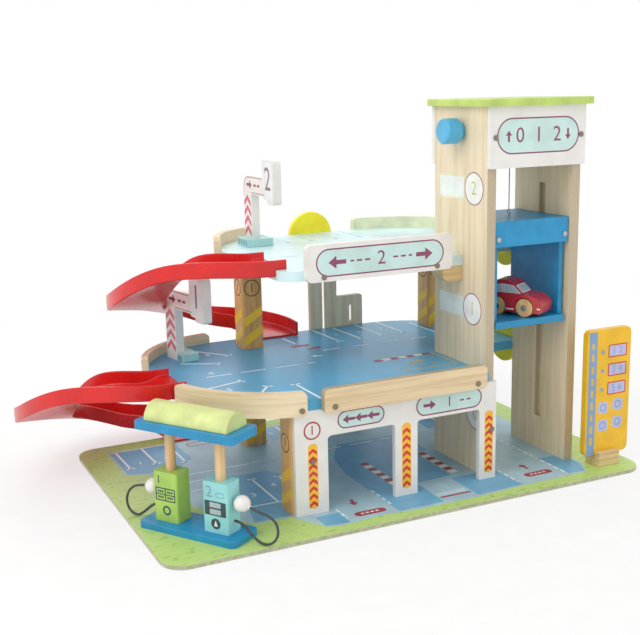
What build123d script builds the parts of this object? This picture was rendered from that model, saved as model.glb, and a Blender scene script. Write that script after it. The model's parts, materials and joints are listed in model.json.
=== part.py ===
from build123d import *

import os
from math import cos, pi, radians, sin, tan

# Toy parking garage with lift. Millimetres, +Z up, +X to the right, +Y to the back.
# The origin is the centre of the ground board's underside.

os.makedirs("parts", exist_ok=True)

# ---------------------------------------------------------------- driving dimensions

# ground board
board_length = 650.0
board_width = 424.0
board_thick = 5.0
board_corner = 28.0

# decks: both stand the same height apart, so one ramp moulding fits both
deck_spacing = 140.0
deck_thick = 12.5
deck_1_left = -253.0
deck_1_front = -151.0
deck_1_rear = 181.0
deck_1_front_radius = 145.0
deck_1_left_radius = 130.0
deck_2_left = -129.0
deck_2_front = -89.0
deck_2_rear = 212.0
deck_2_front_radius = 22.0
deck_2_left_radius = 110.0
deck_right = 259.0
deck_right_radius = 140.0

# lift tower
tower_width = 140.0
tower_depth = 120.0
tower_x = 189.5
tower_y = -83.0
tower_top = 471.0
panel_thick = 12.5
plate_thick = 7.0
header_height = 74.0
header_overhang = 1.0
roof_thick = 9.0
roof_corner = 3.0
roof_round = 1.5
roof_side = 8.0
roof_front = 14.7
roof_back = 8.6

# guide grooves and the cab
groove_width = 12.6
groove_depth = 6.0
slide_gap = 0.3
cab_width = 107.0
cab_depth = 110.0
cab_front = -140.0
cab_floor_under = 195.3
cab_floor_thick = 9.0
cab_wall = 6.0
cab_wall_top = 325.0
cab_top_width = 112.6
cab_roof_thick = 6.0
cab_header_height = 26.0
cab_floor_gap = 0.5
runner_low = 241.0
runner_height = 48.0

# lift knob, spindle and cord
knob_radius = 16.0
knob_length = 27.0
knob_neck_radius = 10.5
knob_neck = 5.0
knob_socket = 15.0
knob_round = 3.0
spindle_radius = 6.0
spindle_drop = 30.0
spindle_fit = 0.05
spindle_seat = 7.0
collar_radius = 10.0
collar_thick = 6.0
turn_gap = 0.3
cord_radius = 0.6
cord_gap = 0.1
eye_ring = 3.0
eye_wire = 0.8
eye_height = 5.0
eye_shank = 5.0

# front plate under deck 1
facade_left = -147.3
arch_1_left = -105.0
arch_2_left = 16.8
arch_width = 90.5
arch_height = 93.5
arch_corner = 5.0
facade_notch_gap = 1.0
facade_screw_inset = 22.3
facade_screw_z = 70.0

# rails and name board
rail_thick = 9.5
rail_height = 29.0
rail_above_deck = 13.0
rail_corner = 6.0
rail_2_lift = 4.0
rail_screw_inset = 13.5
rail_screw_depth = 9.0
front_left_rail_start = 196.0
front_left_rail_end = 260.4
front_left_screw = 258.0
rear_left_rail_1 = (93.0, 160.0)
rear_left_rail_2 = (101.0, 165.0)
rear_right_rail_2 = (15.0, 90.0)
front_rail_left = -113.0
front_rail_right = 111.0
name_board_left = -103.0
name_board_right = 99.0
name_board_thick = 9.0
name_board_height = 45.0
name_board_corner = 7.0
name_board_below = 1.5
name_screw_inset = 22.5
name_screw_lift = 4.0

# posts and the rear panel
post_side = 30.0
post_round = 2.0
front_post_x = -135.0
back_post_x = -89.5
back_post_y = 128.0
right_post_x = 202.0
right_post_y = 121.0
block_width = 29.0
block_depth = 30.0
block_height = 20.0
rear_panel_left = 30.6
rear_panel_thick = 9.0
rear_column_width = 42.9
rear_panel_width = 85.9
rear_block_top = 191.0
rear_block_corner = 4.0
rear_slot_width = 6.5
rear_slot_1_x = 53.0
rear_slot_1_low = 141.0
rear_slot_1_high = 240.0
rear_slot_2_x = 98.0
rear_slot_2_low = 150.0
rear_slot_2_high = 177.0

# round guards on the deck edges
disc_radius = 34.0
disc_thick = 9.0
disc_edge = 1.5
side_disc_y = 19.0
rear_disc_x = 48.0
rear_disc_lift = 4.0

# ramp moulding: a channel that leaves a deck to the left and winds down to the next level
ramp_width = 73.0
ramp_wall = 3.0
ramp_height = 20.0
ramp_lead = 3.0
ramp_turn_radius = 123.0
ramp_straight = 36.0
ramp_end_radius = 58.0
ramp_hook_depth = 8.0
ramp_hook_length = 14.0
ramp_blend = 40.0
ramp_foot_gap = 0.2
ramp_upper_y = -30.0
ramp_lower_y = -6.0
ramp_turn_steps = 10
ramp_straight_steps = 2
ramp_end_steps = 5
ramp_fall = (0.0, 0.02, 0.40, 0.61, 0.85, 1.0)  # share of the fall after each fifth of the way

# level signs
sign_thick = 12.0
sign_post = 28.0
sign_reach = 78.0
sign_arm_low = 71.0
sign_arm_top = 97.0
sign_top = 121.0
sign_number_width = 37.0
sign_round = 19.0
sign_drop = 9.0
sign_drop_inset = 14.0
sign_drop_round = 4.0
sign_corner = 6.0
sign_1_place = (-203.6, 103.0)
sign_1_turn = 10.0
sign_2_place = (-75.0, 140.0)
sign_2_turn = 0.0
sign_base_height = 11.0
sign_base_back = 24.0
sign_base_front = 15.0
sign_base_right = 13.0
sign_2_base_left = 13.0

# pump station, turned about its own centre
station_x = -261.8
station_y = -129.3
station_turn = -56.2
island_length = 136.0
island_width = 50.0
island_thick = 8.0
island_corner = 8.0
island_round = 1.0
pump_spacing = 70.0
pump_width = 34.0
pump_depth = 25.0
pump_height = 60.0
pump_round = 2.5
dowel_radius = 6.0
dowel_length = 50.0
dowel_seat = 6.0
canopy_length = 138.0
canopy_width = 52.0
canopy_thick = 10.0
canopy_corner = 6.0
canopy_shift = 3.0
canopy_roof_length = 115.0
canopy_roof_radius = 20.0
hose_radius = 1.5
nozzle_radius = 9.5
nozzle_stub_radius = 2.5
nozzle_stub_seat = 6.5
nozzle_spigot_radius = 2.6
nozzle_spigot = 1.5
fit_gap = 0.05

# hose routes: distance along the station from its centre, and height
hose_1_route = (
    (-52.0, 27.0), (-60.0, 27.0), (-68.5, 21.5), (-77.5, 13.5), (-88.0, 6.1), (-100.0, 9.0),
    (-105.5, 20.0), (-102.5, 33.0), (-93.5, 42.0), (-82.0, 45.5), (-73.5, 46.5),
)
hose_2_route = (
    (52.0, 27.0), (60.0, 27.0), (68.5, 20.5), (78.0, 11.5), (90.0, 6.0), (102.5, 10.0),
    (110.0, 21.0), (108.5, 34.5), (98.0, 41.5), (85.0, 43.0), (73.5, 46.3),
)

# price sign
price_x = 287.5
price_y = -173.0
price_width = 71.0
price_thick = 10.0
price_low = 18.5
price_top = 187.0
price_corner = 8.0
price_block_x = 285.75
price_block_width = 33.5
price_block_depth = 28.0
price_block_height = 19.0

# toy car in the cab
car_x = 191.9
car_y = -105.0
car_turn = -60.0
car_half_length = 43.0
car_half_width = 18.0
car_clearance = 5.5
car_nose_height = 17.0
car_bonnet_height = 28.5
car_roof_height = 46.5
car_cabin_step = 3.0
car_sill_step = 2.5
car_bonnet_length = 26.0
car_nose_bulge = (7.0, 4.0)
car_screen_top = (4.0, 5.5)
car_back_window = (-16.0, 0.5)
car_tail_step = 3.0
wheel_radius = 11.7
wheel_width = 6.0
wheel_base = 38.0
wheel_gap = 0.3
wheel_pocket = 1.3
axle_radius = 1.5
hub_radius = 4.0
hub_thick = 1.0

# screws
screw_head_radius = 3.4
screw_head_height = 1.4
screw_radius = 1.5
screw_length = 18.0
screw_hole_spare = 1.0
cab_screw_lift = 10.0

# ---------------------------------------------------------------- places worked out from them

deck_1_top = board_thick + deck_spacing
deck_2_top = deck_1_top + deck_spacing
deck_1_under = deck_1_top - deck_thick
deck_2_under = deck_2_top - deck_thick

tower_left = tower_x - tower_width / 2
tower_right = tower_x + tower_width / 2
tower_front = tower_y - tower_depth / 2
tower_back = tower_y + tower_depth / 2
spindle_z = tower_top - spindle_drop
shaft_left = tower_left + panel_thick
shaft_right = tower_right - panel_thick
header_low = tower_top - header_height
plate_front = tower_front - plate_thick

cab_left = tower_x - cab_width / 2
cab_right = tower_x + cab_width / 2
cab_back = cab_front + cab_depth
cab_floor_top = cab_floor_under + cab_floor_thick
cab_roof_top = cab_wall_top + cab_roof_thick
lift_drop = cab_floor_under - board_thick - cab_floor_gap
lift_rise = deck_2_top - cab_floor_top
groove_low = runner_low - lift_drop - slide_gap
groove_high = runner_low + runner_height + lift_rise + slide_gap

cord_y = tower_y - spindle_radius - cord_radius - cord_gap
eye_centre_z = cab_roof_top + eye_height
front_post_y = tower_front + post_side / 2

rail_top_1 = deck_1_top + rail_above_deck
rail_top_2 = deck_2_top + rail_above_deck + rail_2_lift
name_board_low = deck_2_under - name_board_below
name_board_y = deck_2_front - name_board_thick

island_top = board_thick + island_thick
pump_top = island_top + pump_height
canopy_low = pump_top + dowel_length

ramp_length = ramp_lead + pi * ramp_turn_radius + ramp_straight + pi / 2 * ramp_end_radius


def front_facing(x, y, z):
    """A plane at this point whose outward side looks to the front."""
    return Plane(origin=(x, y, z), x_dir=(1, 0, 0), z_dir=(0, -1, 0))


def save(part, name):
    """Labels a finished piece and writes it."""
    part.label = name
    export_step(part, f"parts/{name}.step")


# screw places, each with its outward direction
front_rail_front = deck_1_front - rail_thick
rail_screw_z = deck_1_top - rail_screw_depth
front_rail_screws = [
    front_facing(x, front_rail_front, rail_screw_z)
    for x in (front_rail_left + rail_screw_inset, front_rail_right - rail_screw_inset)
]
name_board_screws = [
    front_facing(x, name_board_y, deck_2_under + name_screw_lift)
    for x in (name_board_left + name_screw_inset, name_board_right - name_screw_inset)
]
facade_screws = [
    front_facing(x, plate_front, facade_screw_z)
    for x in (facade_left + facade_screw_inset, tower_left + panel_thick / 2)
]
header_screws = [
    front_facing(x, plate_front, header_low + header_height / 2)
    for x in (tower_left + panel_thick / 2, tower_right - panel_thick / 2)
]
corner_1 = (deck_1_left + deck_1_front_radius, deck_1_front + deck_1_front_radius)
bent_screw_out = (cos(radians(front_left_screw)), sin(radians(front_left_screw)))
bent_rail_screws = [
    Plane(
        origin=(
            corner_1[0] + (deck_1_front_radius + rail_thick) * bent_screw_out[0],
            corner_1[1] + (deck_1_front_radius + rail_thick) * bent_screw_out[1],
            rail_screw_z,
        ),
        x_dir=(0, 0, 1),
        z_dir=(bent_screw_out[0], bent_screw_out[1], 0),
    )
]
all_screws = front_rail_screws + bent_rail_screws + name_board_screws + facade_screws + header_screws


def screw_holes(places):
    """Bores the holes that screws at these places need."""
    with Locations(*places):
        Hole(radius=screw_radius + fit_gap, depth=screw_length + screw_hole_spare)


# ---------------------------------------------------------------- ground board


def make_board():
    with BuildPart() as board:
        with BuildSketch():
            RectangleRounded(board_length, board_width, board_corner)
        extrude(amount=board_thick)
    save(board.part, "base_board")


# ---------------------------------------------------------------- decks and what stands on them


def make_deck(name, left, front, rear, front_radius, left_radius, top, screws):
    """A deck: round corners on the left and at the back right, wrapped round the tower."""
    with BuildPart() as deck:
        with BuildSketch(Plane.XY.offset(top - deck_thick)):
            with BuildLine():
                Line((left + front_radius, front), (tower_left, front))
                Line((tower_left, front), (tower_left, tower_back))
                Line((tower_left, tower_back), (deck_right, tower_back))
                Line((deck_right, tower_back), (deck_right, rear - deck_right_radius))
                right_centre = (deck_right - deck_right_radius, rear - deck_right_radius)
                CenterArc(right_centre, deck_right_radius, 0, 90)
                Line((deck_right - deck_right_radius, rear), (left + left_radius, rear))
                CenterArc((left + left_radius, rear - left_radius), left_radius, 90, 90)
                Line((left, rear - left_radius), (left, front + front_radius))
                CenterArc((left + front_radius, front + front_radius), front_radius, 180, 90)
            make_face()
        extrude(amount=deck_thick)
        screw_holes(screws)
    save(deck.part, name)


def make_front_rail():
    with BuildPart() as rail:
        middle = (front_rail_left + front_rail_right) / 2
        with BuildSketch(front_facing(middle, deck_1_front, rail_top_1 - rail_height / 2)):
            RectangleRounded(front_rail_right - front_rail_left, rail_height, rail_corner)
        extrude(amount=rail_thick)
        screw_holes(front_rail_screws)
    save(rail.part, "rail_deck_1_front")


def make_bent_rail(name, centre, radius, start, end, top, screws=()):
    """A rail bent round a deck corner, from one angle to another, on the outside of that radius."""
    outer = radius + rail_thick
    ends = [(cos(radians(a)), sin(radians(a))) for a in (start, end)]
    with BuildPart() as rail:
        with BuildSketch(Plane.XY.offset(top - rail_height)):
            with BuildLine():
                CenterArc(centre, radius, start, end - start)
                CenterArc(centre, outer, start, end - start)
                for c, s in ends:
                    near = (centre[0] + radius * c, centre[1] + radius * s)
                    far = (centre[0] + outer * c, centre[1] + outer * s)
                    Line(near, far)
            make_face()
        extrude(amount=rail_height)
        end_edges = rail.edges().filter_by(GeomType.LINE).filter_by(Axis.Z, reverse=True)
        fillet(end_edges, rail_corner)
        if screws:
            screw_holes(screws)
    save(rail.part, name)


def make_name_board():
    with BuildPart() as board:
        middle = (name_board_left + name_board_right) / 2
        with BuildSketch(front_facing(middle, deck_2_front, name_board_low + name_board_height / 2)):
            RectangleRounded(name_board_right - name_board_left, name_board_height, name_board_corner)
        extrude(amount=name_board_thick)
        screw_holes(name_board_screws)
    save(board.part, "name_board")


def make_support_block():
    """The block on the tower's left panel that carries the front of deck 2."""
    with BuildPart() as block:
        low = deck_2_under - block_height
        with BuildSketch(front_facing(tower_left - block_width / 2, deck_2_front, low + block_height / 2)):
            Rectangle(block_width, block_height)
            fillet(vertices().group_by(Axis.Y)[0].sort_by(Axis.X)[:1], block_height / 2)
        extrude(amount=-block_depth)
    save(block.part, "deck_2_support_block")


def make_post(name, x, y, low, high, screws=()):
    with BuildPart() as post:
        with BuildSketch(Plane(origin=(x, y, low))):
            RectangleRounded(post_side, post_side, post_round)
        extrude(amount=high - low)
        if screws:
            screw_holes(screws)
    save(post.part, name)


def make_rear_panel():
    """The tall panel behind deck 1, with a column that carries deck 2 and two slots."""
    column_right = rear_panel_left + rear_column_width
    with BuildPart() as panel:
        with BuildSketch(front_facing(0, deck_1_rear, 0)):
            with BuildLine():
                Polyline(
                    (rear_panel_left, board_thick),
                    (rear_panel_left + rear_panel_width, board_thick),
                    (rear_panel_left + rear_panel_width, rear_block_top),
                    (column_right, rear_block_top),
                    (column_right, deck_2_under),
                    (rear_panel_left, deck_2_under),
                    close=True,
                )
            make_face()
            block_corner = (rear_panel_left + rear_panel_width, rear_block_top)
            fillet(vertices().sort_by_distance(block_corner)[0], rear_block_corner)
            for x, low, high in (
                (rear_slot_1_x, rear_slot_1_low, rear_slot_1_high),
                (rear_slot_2_x, rear_slot_2_low, rear_slot_2_high),
            ):
                with Locations((x, (low + high) / 2)):
                    SlotOverall(high - low, rear_slot_width, rotation=90, mode=Mode.SUBTRACT)
        extrude(amount=-rear_panel_thick)
    save(panel.part, "rear_panel")


def make_disc(name, place):
    """A round guard. The plane lies on the deck's edge and looks away from it."""
    with BuildPart() as disc:
        with BuildSketch(place):
            Circle(disc_radius)
        extrude(amount=disc_thick)
        fillet(disc.edges().filter_by(GeomType.CIRCLE), disc_edge)
    save(disc.part, name)


def make_level_sign(name, place, turn, low):
    """A cut-out plate: a post, an arm towards the front and a taller number field at its end."""
    arm = (sin(radians(turn)), -cos(radians(turn)), 0)
    out = (-cos(radians(turn)), -sin(radians(turn)), 0)
    face = Plane(origin=(place[0], place[1], low), x_dir=arm, z_dir=out)
    number_left = sign_reach - sign_number_width
    drop_left = number_left + sign_drop_inset
    with BuildPart() as sign:
        with BuildSketch(face):
            with BuildLine():
                Polyline(
                    (-sign_post, 0),
                    (0, 0),
                    (0, sign_arm_low),
                    (drop_left, sign_arm_low),
                    (drop_left, sign_arm_low - sign_drop),
                    (sign_reach, sign_arm_low - sign_drop),
                    (sign_reach, sign_top),
                    (number_left, sign_top),
                    (number_left, sign_arm_top),
                    (-sign_post, sign_arm_top),
                    close=True,
                )
            make_face()
            fillet(vertices().group_by(Axis.Y)[-1], sign_corner)
            fillet(vertices().sort_by_distance((-sign_post, sign_arm_top))[0], sign_round)
            for u in (drop_left, sign_reach):
                corner = vertices().sort_by_distance((u, sign_arm_low - sign_drop))[0]
                fillet(corner, sign_drop_round)
        extrude(amount=-sign_thick)
    save(sign.part, name)


def make_sign_base(name, place, turn, low, left):
    """The block that a level sign's post stands in. It reaches further left only where asked."""
    arm = (sin(radians(turn)), -cos(radians(turn)), 0)
    floor = Plane(origin=(place[0], place[1], low), x_dir=arm, z_dir=(0, 0, 1))
    length = sign_base_back + sign_base_front
    width = left + sign_thick + sign_base_right
    with BuildPart() as block:
        with BuildSketch(floor):
            with Locations(((sign_base_front - sign_base_back) / 2, width / 2 - left)):
                Rectangle(length, width)
            with Locations((-sign_post / 2, sign_thick / 2)):
                Rectangle(sign_post, sign_thick, mode=Mode.SUBTRACT)
        extrude(amount=sign_base_height)
    save(block.part, name)


# ---------------------------------------------------------------- front plate and tower


def make_facade():
    right = shaft_left
    with BuildPart() as facade:
        with BuildSketch(front_facing(0, tower_front, 0)):
            with Locations(((facade_left + right) / 2, (board_thick + deck_1_under) / 2)):
                Rectangle(right - facade_left, deck_1_under - board_thick)
            for left in (arch_1_left, arch_2_left):
                middle = left + arch_width / 2
                with Locations((middle, board_thick + arch_height / 2 - arch_corner)):
                    RectangleRounded(
                        arch_width, arch_height + 2 * arch_corner, arch_corner, mode=Mode.SUBTRACT
                    )
            # the bent rail hangs past the deck's underside, so the plate's top corner steps down for it
            rail_end_x = corner_1[0] + deck_1_front_radius * cos(radians(front_left_rail_end))
            notch_right = rail_end_x + facade_notch_gap
            notch_low = rail_top_1 - rail_height - slide_gap
            with Locations(((facade_left + notch_right) / 2, (notch_low + deck_1_under) / 2)):
                Rectangle(notch_right - facade_left, deck_1_under - notch_low, mode=Mode.SUBTRACT)
        extrude(amount=plate_thick)
        screw_holes(facade_screws)
    save(facade.part, "facade")


def make_side_panel(name, outer_x, inner_x, spindle_hole, screws):
    """A tower side panel. A blind groove in its inner face guides the cab."""
    inward = 1 if inner_x > outer_x else -1
    inner_face = Plane(origin=(inner_x, tower_y, 0), x_dir=(0, inward, 0), z_dir=(inward, 0, 0))
    with BuildPart() as panel:
        with BuildSketch(inner_face):
            with Locations((0, (board_thick + tower_top) / 2)):
                Rectangle(tower_depth, tower_top - board_thick)
        extrude(amount=-panel_thick)
        with BuildSketch(inner_face):
            with Locations((0, (groove_low + groove_high) / 2)):
                Rectangle(groove_width, groove_high - groove_low)
        extrude(amount=-groove_depth, mode=Mode.SUBTRACT)
        with BuildSketch(inner_face):
            with Locations((0, spindle_z)):
                Circle(spindle_radius + spindle_fit)
        extrude(amount=-spindle_hole, mode=Mode.SUBTRACT)
        screw_holes(screws)
    save(panel.part, name)


def make_header(name, back_face_y, screws=()):
    """A header plate that ties the two side panels."""
    with BuildPart() as header:
        with BuildSketch(front_facing(tower_x, back_face_y, header_low + header_height / 2)):
            Rectangle(tower_width + 2 * header_overhang, header_height)
        extrude(amount=plate_thick)
        if screws:
            screw_holes(screws)
    save(header.part, name)


def make_roof():
    length = tower_width + 2 * roof_side
    depth = tower_depth + roof_front + roof_back
    with BuildPart() as roof:
        with BuildSketch(Plane(origin=(tower_x, tower_y + (roof_back - roof_front) / 2, tower_top))):
            RectangleRounded(length, depth, roof_corner)
        extrude(amount=roof_thick)
        fillet(roof.faces().sort_by(Axis.Z)[-1].edges(), roof_round)
    save(roof.part, "tower_roof")


# ---------------------------------------------------------------- knob, spindle and cord


def make_knob():
    """A turned knob. It is revolved about the spindle axis and bored for the spindle."""
    back = tower_left - turn_gap
    face = back - knob_length
    axis_start = (face, tower_y, spindle_z)
    profile_plane = Plane(origin=axis_start, x_dir=(1, 0, 0), z_dir=(0, -1, 0))
    with BuildPart() as knob:
        with BuildSketch(profile_plane):
            with BuildLine():
                Polyline(
                    (0, 0),
                    (0, knob_radius),
                    (knob_length - knob_neck, knob_radius),
                    (knob_length - knob_neck, knob_neck_radius),
                    (knob_length, knob_neck_radius),
                    (knob_length, spindle_radius),
                    (knob_length - knob_socket, spindle_radius),
                    (knob_length - knob_socket, 0),
                    close=True,
                )
            make_face()
            fillet(vertices().group_by(Axis.Y)[-1], knob_round)
        revolve(axis=Axis(axis_start, (1, 0, 0)))
    save(knob.part, "lift_knob")

    spindle_start = back - knob_socket
    spindle_end = shaft_right + spindle_seat - turn_gap
    with BuildPart() as spindle:
        spindle_place = (spindle_start, tower_y, spindle_z)
        with BuildSketch(Plane(origin=spindle_place, x_dir=(0, 1, 0), z_dir=(1, 0, 0))):
            Circle(spindle_radius)
        extrude(amount=spindle_end - spindle_start)
    save(spindle.part, "lift_spindle")

    with BuildPart() as collar:
        collar_place = (shaft_left + turn_gap, tower_y, spindle_z)
        with BuildSketch(Plane(origin=collar_place, x_dir=(0, 1, 0), z_dir=(1, 0, 0))):
            Circle(collar_radius)
            Circle(spindle_radius, mode=Mode.SUBTRACT)
        extrude(amount=collar_thick)
    save(collar.part, "spindle_collar")


def make_lift_cord():
    """The straight stretch from the screw eye up to where the cord meets the spindle."""
    low = eye_centre_z + eye_ring + eye_wire
    with BuildPart() as cord:
        with BuildSketch(Plane(origin=(tower_x, cord_y, low))):
            Circle(cord_radius)
        extrude(amount=spindle_z - low)
    save(cord.part, "lift_cord")


# ---------------------------------------------------------------- cab


def make_cab():
    middle_y = (cab_front + cab_back) / 2
    wall_front = cab_front + cab_wall

    with BuildPart() as floor:
        with BuildSketch(Plane(origin=(tower_x, middle_y, cab_floor_under))):
            Rectangle(cab_width, cab_depth)
        extrude(amount=cab_floor_thick)
    save(floor.part, "cab_floor")

    for name, x in (("cab_wall_left", cab_left), ("cab_wall_right", cab_right - cab_wall)):
        with BuildPart() as wall:
            with BuildSketch(Plane(origin=(x + cab_wall / 2, (wall_front + cab_back) / 2, cab_floor_top))):
                Rectangle(cab_wall, cab_back - wall_front)
            extrude(amount=cab_wall_top - cab_floor_top)
        save(wall.part, name)

    with BuildPart() as header:
        low = cab_wall_top - cab_header_height
        with BuildSketch(front_facing(tower_x, wall_front, low + cab_header_height / 2)):
            Rectangle(cab_top_width, cab_header_height)
        extrude(amount=cab_wall)
        screw_x = cab_width / 2 - cab_wall / 2
        screw_z = low + cab_screw_lift
        with Locations(*[front_facing(tower_x + side * screw_x, cab_front, screw_z) for side in (-1, 1)]):
            Hole(radius=screw_radius + fit_gap, depth=cab_wall)
    save(header.part, "cab_header")

    with BuildPart() as header_screws_pair:
        with Locations(*[front_facing(tower_x + side * screw_x, cab_front, screw_z) for side in (-1, 1)]):
            Cylinder(screw_head_radius, screw_head_height, align=(Align.CENTER, Align.CENTER, Align.MIN))
            Cylinder(screw_radius, cab_wall, align=(Align.CENTER, Align.CENTER, Align.MAX))
    save(header_screws_pair.part, "cab_screws")

    with BuildPart() as roof:
        with BuildSketch(Plane(origin=(tower_x, middle_y, cab_wall_top))):
            Rectangle(cab_top_width, cab_depth)
        extrude(amount=cab_roof_thick)
        with Locations((tower_x, cord_y, cab_roof_top)):
            Hole(radius=eye_wire + fit_gap, depth=eye_shank)
    save(roof.part, "cab_roof")

    runner_width = groove_width - 2 * slide_gap
    for name, wall_x, end_x in (
        ("cab_runner_left", cab_left, shaft_left - groove_depth + slide_gap),
        ("cab_runner_right", cab_right, shaft_right + groove_depth - slide_gap),
    ):
        with BuildPart() as runner:
            with BuildSketch(Plane(origin=((wall_x + end_x) / 2, tower_y, runner_low))):
                Rectangle(abs(end_x - wall_x), runner_width)
            extrude(amount=runner_height)
        save(runner.part, name)

    with BuildPart() as eye:
        with Locations((tower_x, cord_y, cab_roof_top - eye_shank)):
            shank = eye_shank + eye_height - eye_ring
            Cylinder(eye_wire, shank, align=(Align.CENTER, Align.CENTER, Align.MIN))
        with Locations(Location((tower_x, cord_y, eye_centre_z), (0, 90, 0))):
            Torus(eye_ring, eye_wire)
    save(eye.part, "cab_screw_eye")


# ---------------------------------------------------------------- toy car


def car_plane(z):
    angle = radians(car_turn)
    return Plane(origin=(car_x, car_y, z), x_dir=(cos(angle), sin(angle), 0), z_dir=(0, 0, 1))


def make_car():
    ground = cab_floor_top + wheel_gap
    axle_z = ground + wheel_radius
    place = car_plane(ground)
    side = Plane(origin=place.origin, x_dir=place.x_dir, z_dir=-place.y_dir)
    pocket_depth = wheel_width + 2 * wheel_gap
    pocket_inner = car_half_width - pocket_depth
    bonnet_end = car_half_length - car_bonnet_length
    bulge_in, bulge_down = car_nose_bulge
    screen_x, screen_drop = car_screen_top
    back_x, back_drop = car_back_window
    tail = -car_half_length + car_tail_step
    with BuildPart() as body:
        with BuildSketch(side):
            with BuildLine():
                Polyline(
                    (-car_half_length, car_nose_height),
                    (-car_half_length + car_sill_step, car_clearance),
                    (car_half_length - car_sill_step, car_clearance),
                    (car_half_length, car_nose_height),
                )
                ThreePointArc(
                    (car_half_length, car_nose_height),
                    (car_half_length - bulge_in, car_bonnet_height - bulge_down),
                    (bonnet_end, car_bonnet_height),
                )
                Line((bonnet_end, car_bonnet_height), (-bonnet_end, car_bonnet_height))
                ThreePointArc(
                    (-bonnet_end, car_bonnet_height),
                    (-car_half_length + bulge_in, car_bonnet_height - bulge_down),
                    (-car_half_length, car_nose_height),
                )
            make_face()
        extrude(amount=car_half_width, both=True)
        with BuildSketch(side):
            with BuildLine():
                Polyline(
                    (screen_x, car_roof_height - screen_drop),
                    (bonnet_end, car_bonnet_height),
                    (bonnet_end, car_nose_height),
                    (tail, car_nose_height),
                )
                ThreePointArc(
                    (screen_x, car_roof_height - screen_drop),
                    (back_x, car_roof_height - back_drop),
                    (tail, car_nose_height),
                )
            make_face()
        extrude(amount=car_half_width - car_cabin_step, both=True)
        with BuildSketch(side.offset(car_half_width), side.offset(-pocket_inner)):
            for u in (-wheel_base / 2, wheel_base / 2):
                with Locations((u, axle_z - ground)):
                    Circle(wheel_radius + wheel_pocket)
        extrude(amount=-pocket_depth, mode=Mode.SUBTRACT)
        with BuildSketch(side):
            for u in (-wheel_base / 2, wheel_base / 2):
                with Locations((u, axle_z - ground)):
                    Circle(axle_radius + fit_gap)
        extrude(amount=car_half_width, both=True, mode=Mode.SUBTRACT)
    save(body.part, "car_body")

    wheel_inner = car_half_width - wheel_gap - wheel_width
    for end, u in (("front", wheel_base / 2), ("rear", -wheel_base / 2)):
        centre = place.from_local_coords((u, 0, wheel_radius))
        across = Plane(origin=centre, x_dir=place.x_dir, z_dir=-place.y_dir)
        with BuildPart() as axle:
            with BuildSketch(across):
                Circle(axle_radius)
            extrude(amount=wheel_inner + wheel_width, both=True)
            for out in (1, -1):
                cap = Plane(
                    origin=centre + across.z_dir * (out * (wheel_inner + wheel_width)),
                    x_dir=place.x_dir,
                    z_dir=across.z_dir * out,
                )
                with BuildSketch(cap):
                    Circle(hub_radius)
                extrude(amount=hub_thick)
        save(axle.part, f"car_axle_{end}")

        with BuildPart() as wheels:
            for out in (1, -1):
                inner = Plane(
                    origin=centre + across.z_dir * (out * wheel_inner),
                    x_dir=place.x_dir,
                    z_dir=across.z_dir * out,
                )
                with BuildSketch(inner):
                    Circle(wheel_radius)
                    Circle(axle_radius, mode=Mode.SUBTRACT)
                extrude(amount=wheel_width)
        save(wheels.part, f"car_wheels_{end}")


# ---------------------------------------------------------------- ramps


def ramp_point(s):
    """Place and heading of the ramp's middle line, s millimetres after the deck's edge."""
    turn_length = pi * ramp_turn_radius
    s1 = s - ramp_lead
    s2 = s1 - turn_length
    s3 = s2 - ramp_straight
    if s1 <= 0:
        return (-s, 0.0), (-1.0, 0.0)
    if s2 <= 0:
        a = -pi / 2 - s1 / ramp_turn_radius
        x = -ramp_lead + ramp_turn_radius * cos(a)
        y = ramp_turn_radius + ramp_turn_radius * sin(a)
        return (x, y), (sin(a), -cos(a))
    if s3 <= 0:
        return (-ramp_lead + s2, 2 * ramp_turn_radius), (1.0, 0.0)
    a = pi / 2 - s3 / ramp_end_radius
    x = -ramp_lead + ramp_straight + ramp_end_radius * cos(a)
    y = 2 * ramp_turn_radius - ramp_end_radius + ramp_end_radius * sin(a)
    return (x, y), (sin(a), -cos(a))


def ramp_share(t):
    """Share of the fall at a share of the way, as a smooth curve through the listed ones."""
    n = len(ramp_fall) - 1
    i = min(int(t * n), n - 1)
    f = t * n - i
    p0 = ramp_fall[max(i - 1, 0)]
    p1 = ramp_fall[i]
    p2 = ramp_fall[i + 1]
    p3 = ramp_fall[i + 2] if i + 2 <= n else 2 * p2 - p1
    m1 = (p2 - p0) / 2
    m2 = (p3 - p1) / 2
    return (
        (2 * f**3 - 3 * f**2 + 1) * p1
        + (f**3 - 2 * f**2 + f) * m1
        + (3 * f**2 - 2 * f**3) * p2
        + (f**3 - f**2) * m2
    )


def channel(width, wall, height, floor):
    """The outline of a U-shaped channel, open at the top, with its underside at zero."""
    w = width / 2
    return (
        (-w, 0),
        (w, 0),
        (w, height),
        (w - wall, height),
        (w - wall, floor),
        (-w + wall, floor),
        (-w + wall, height),
        (-w, height),
    )


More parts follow.
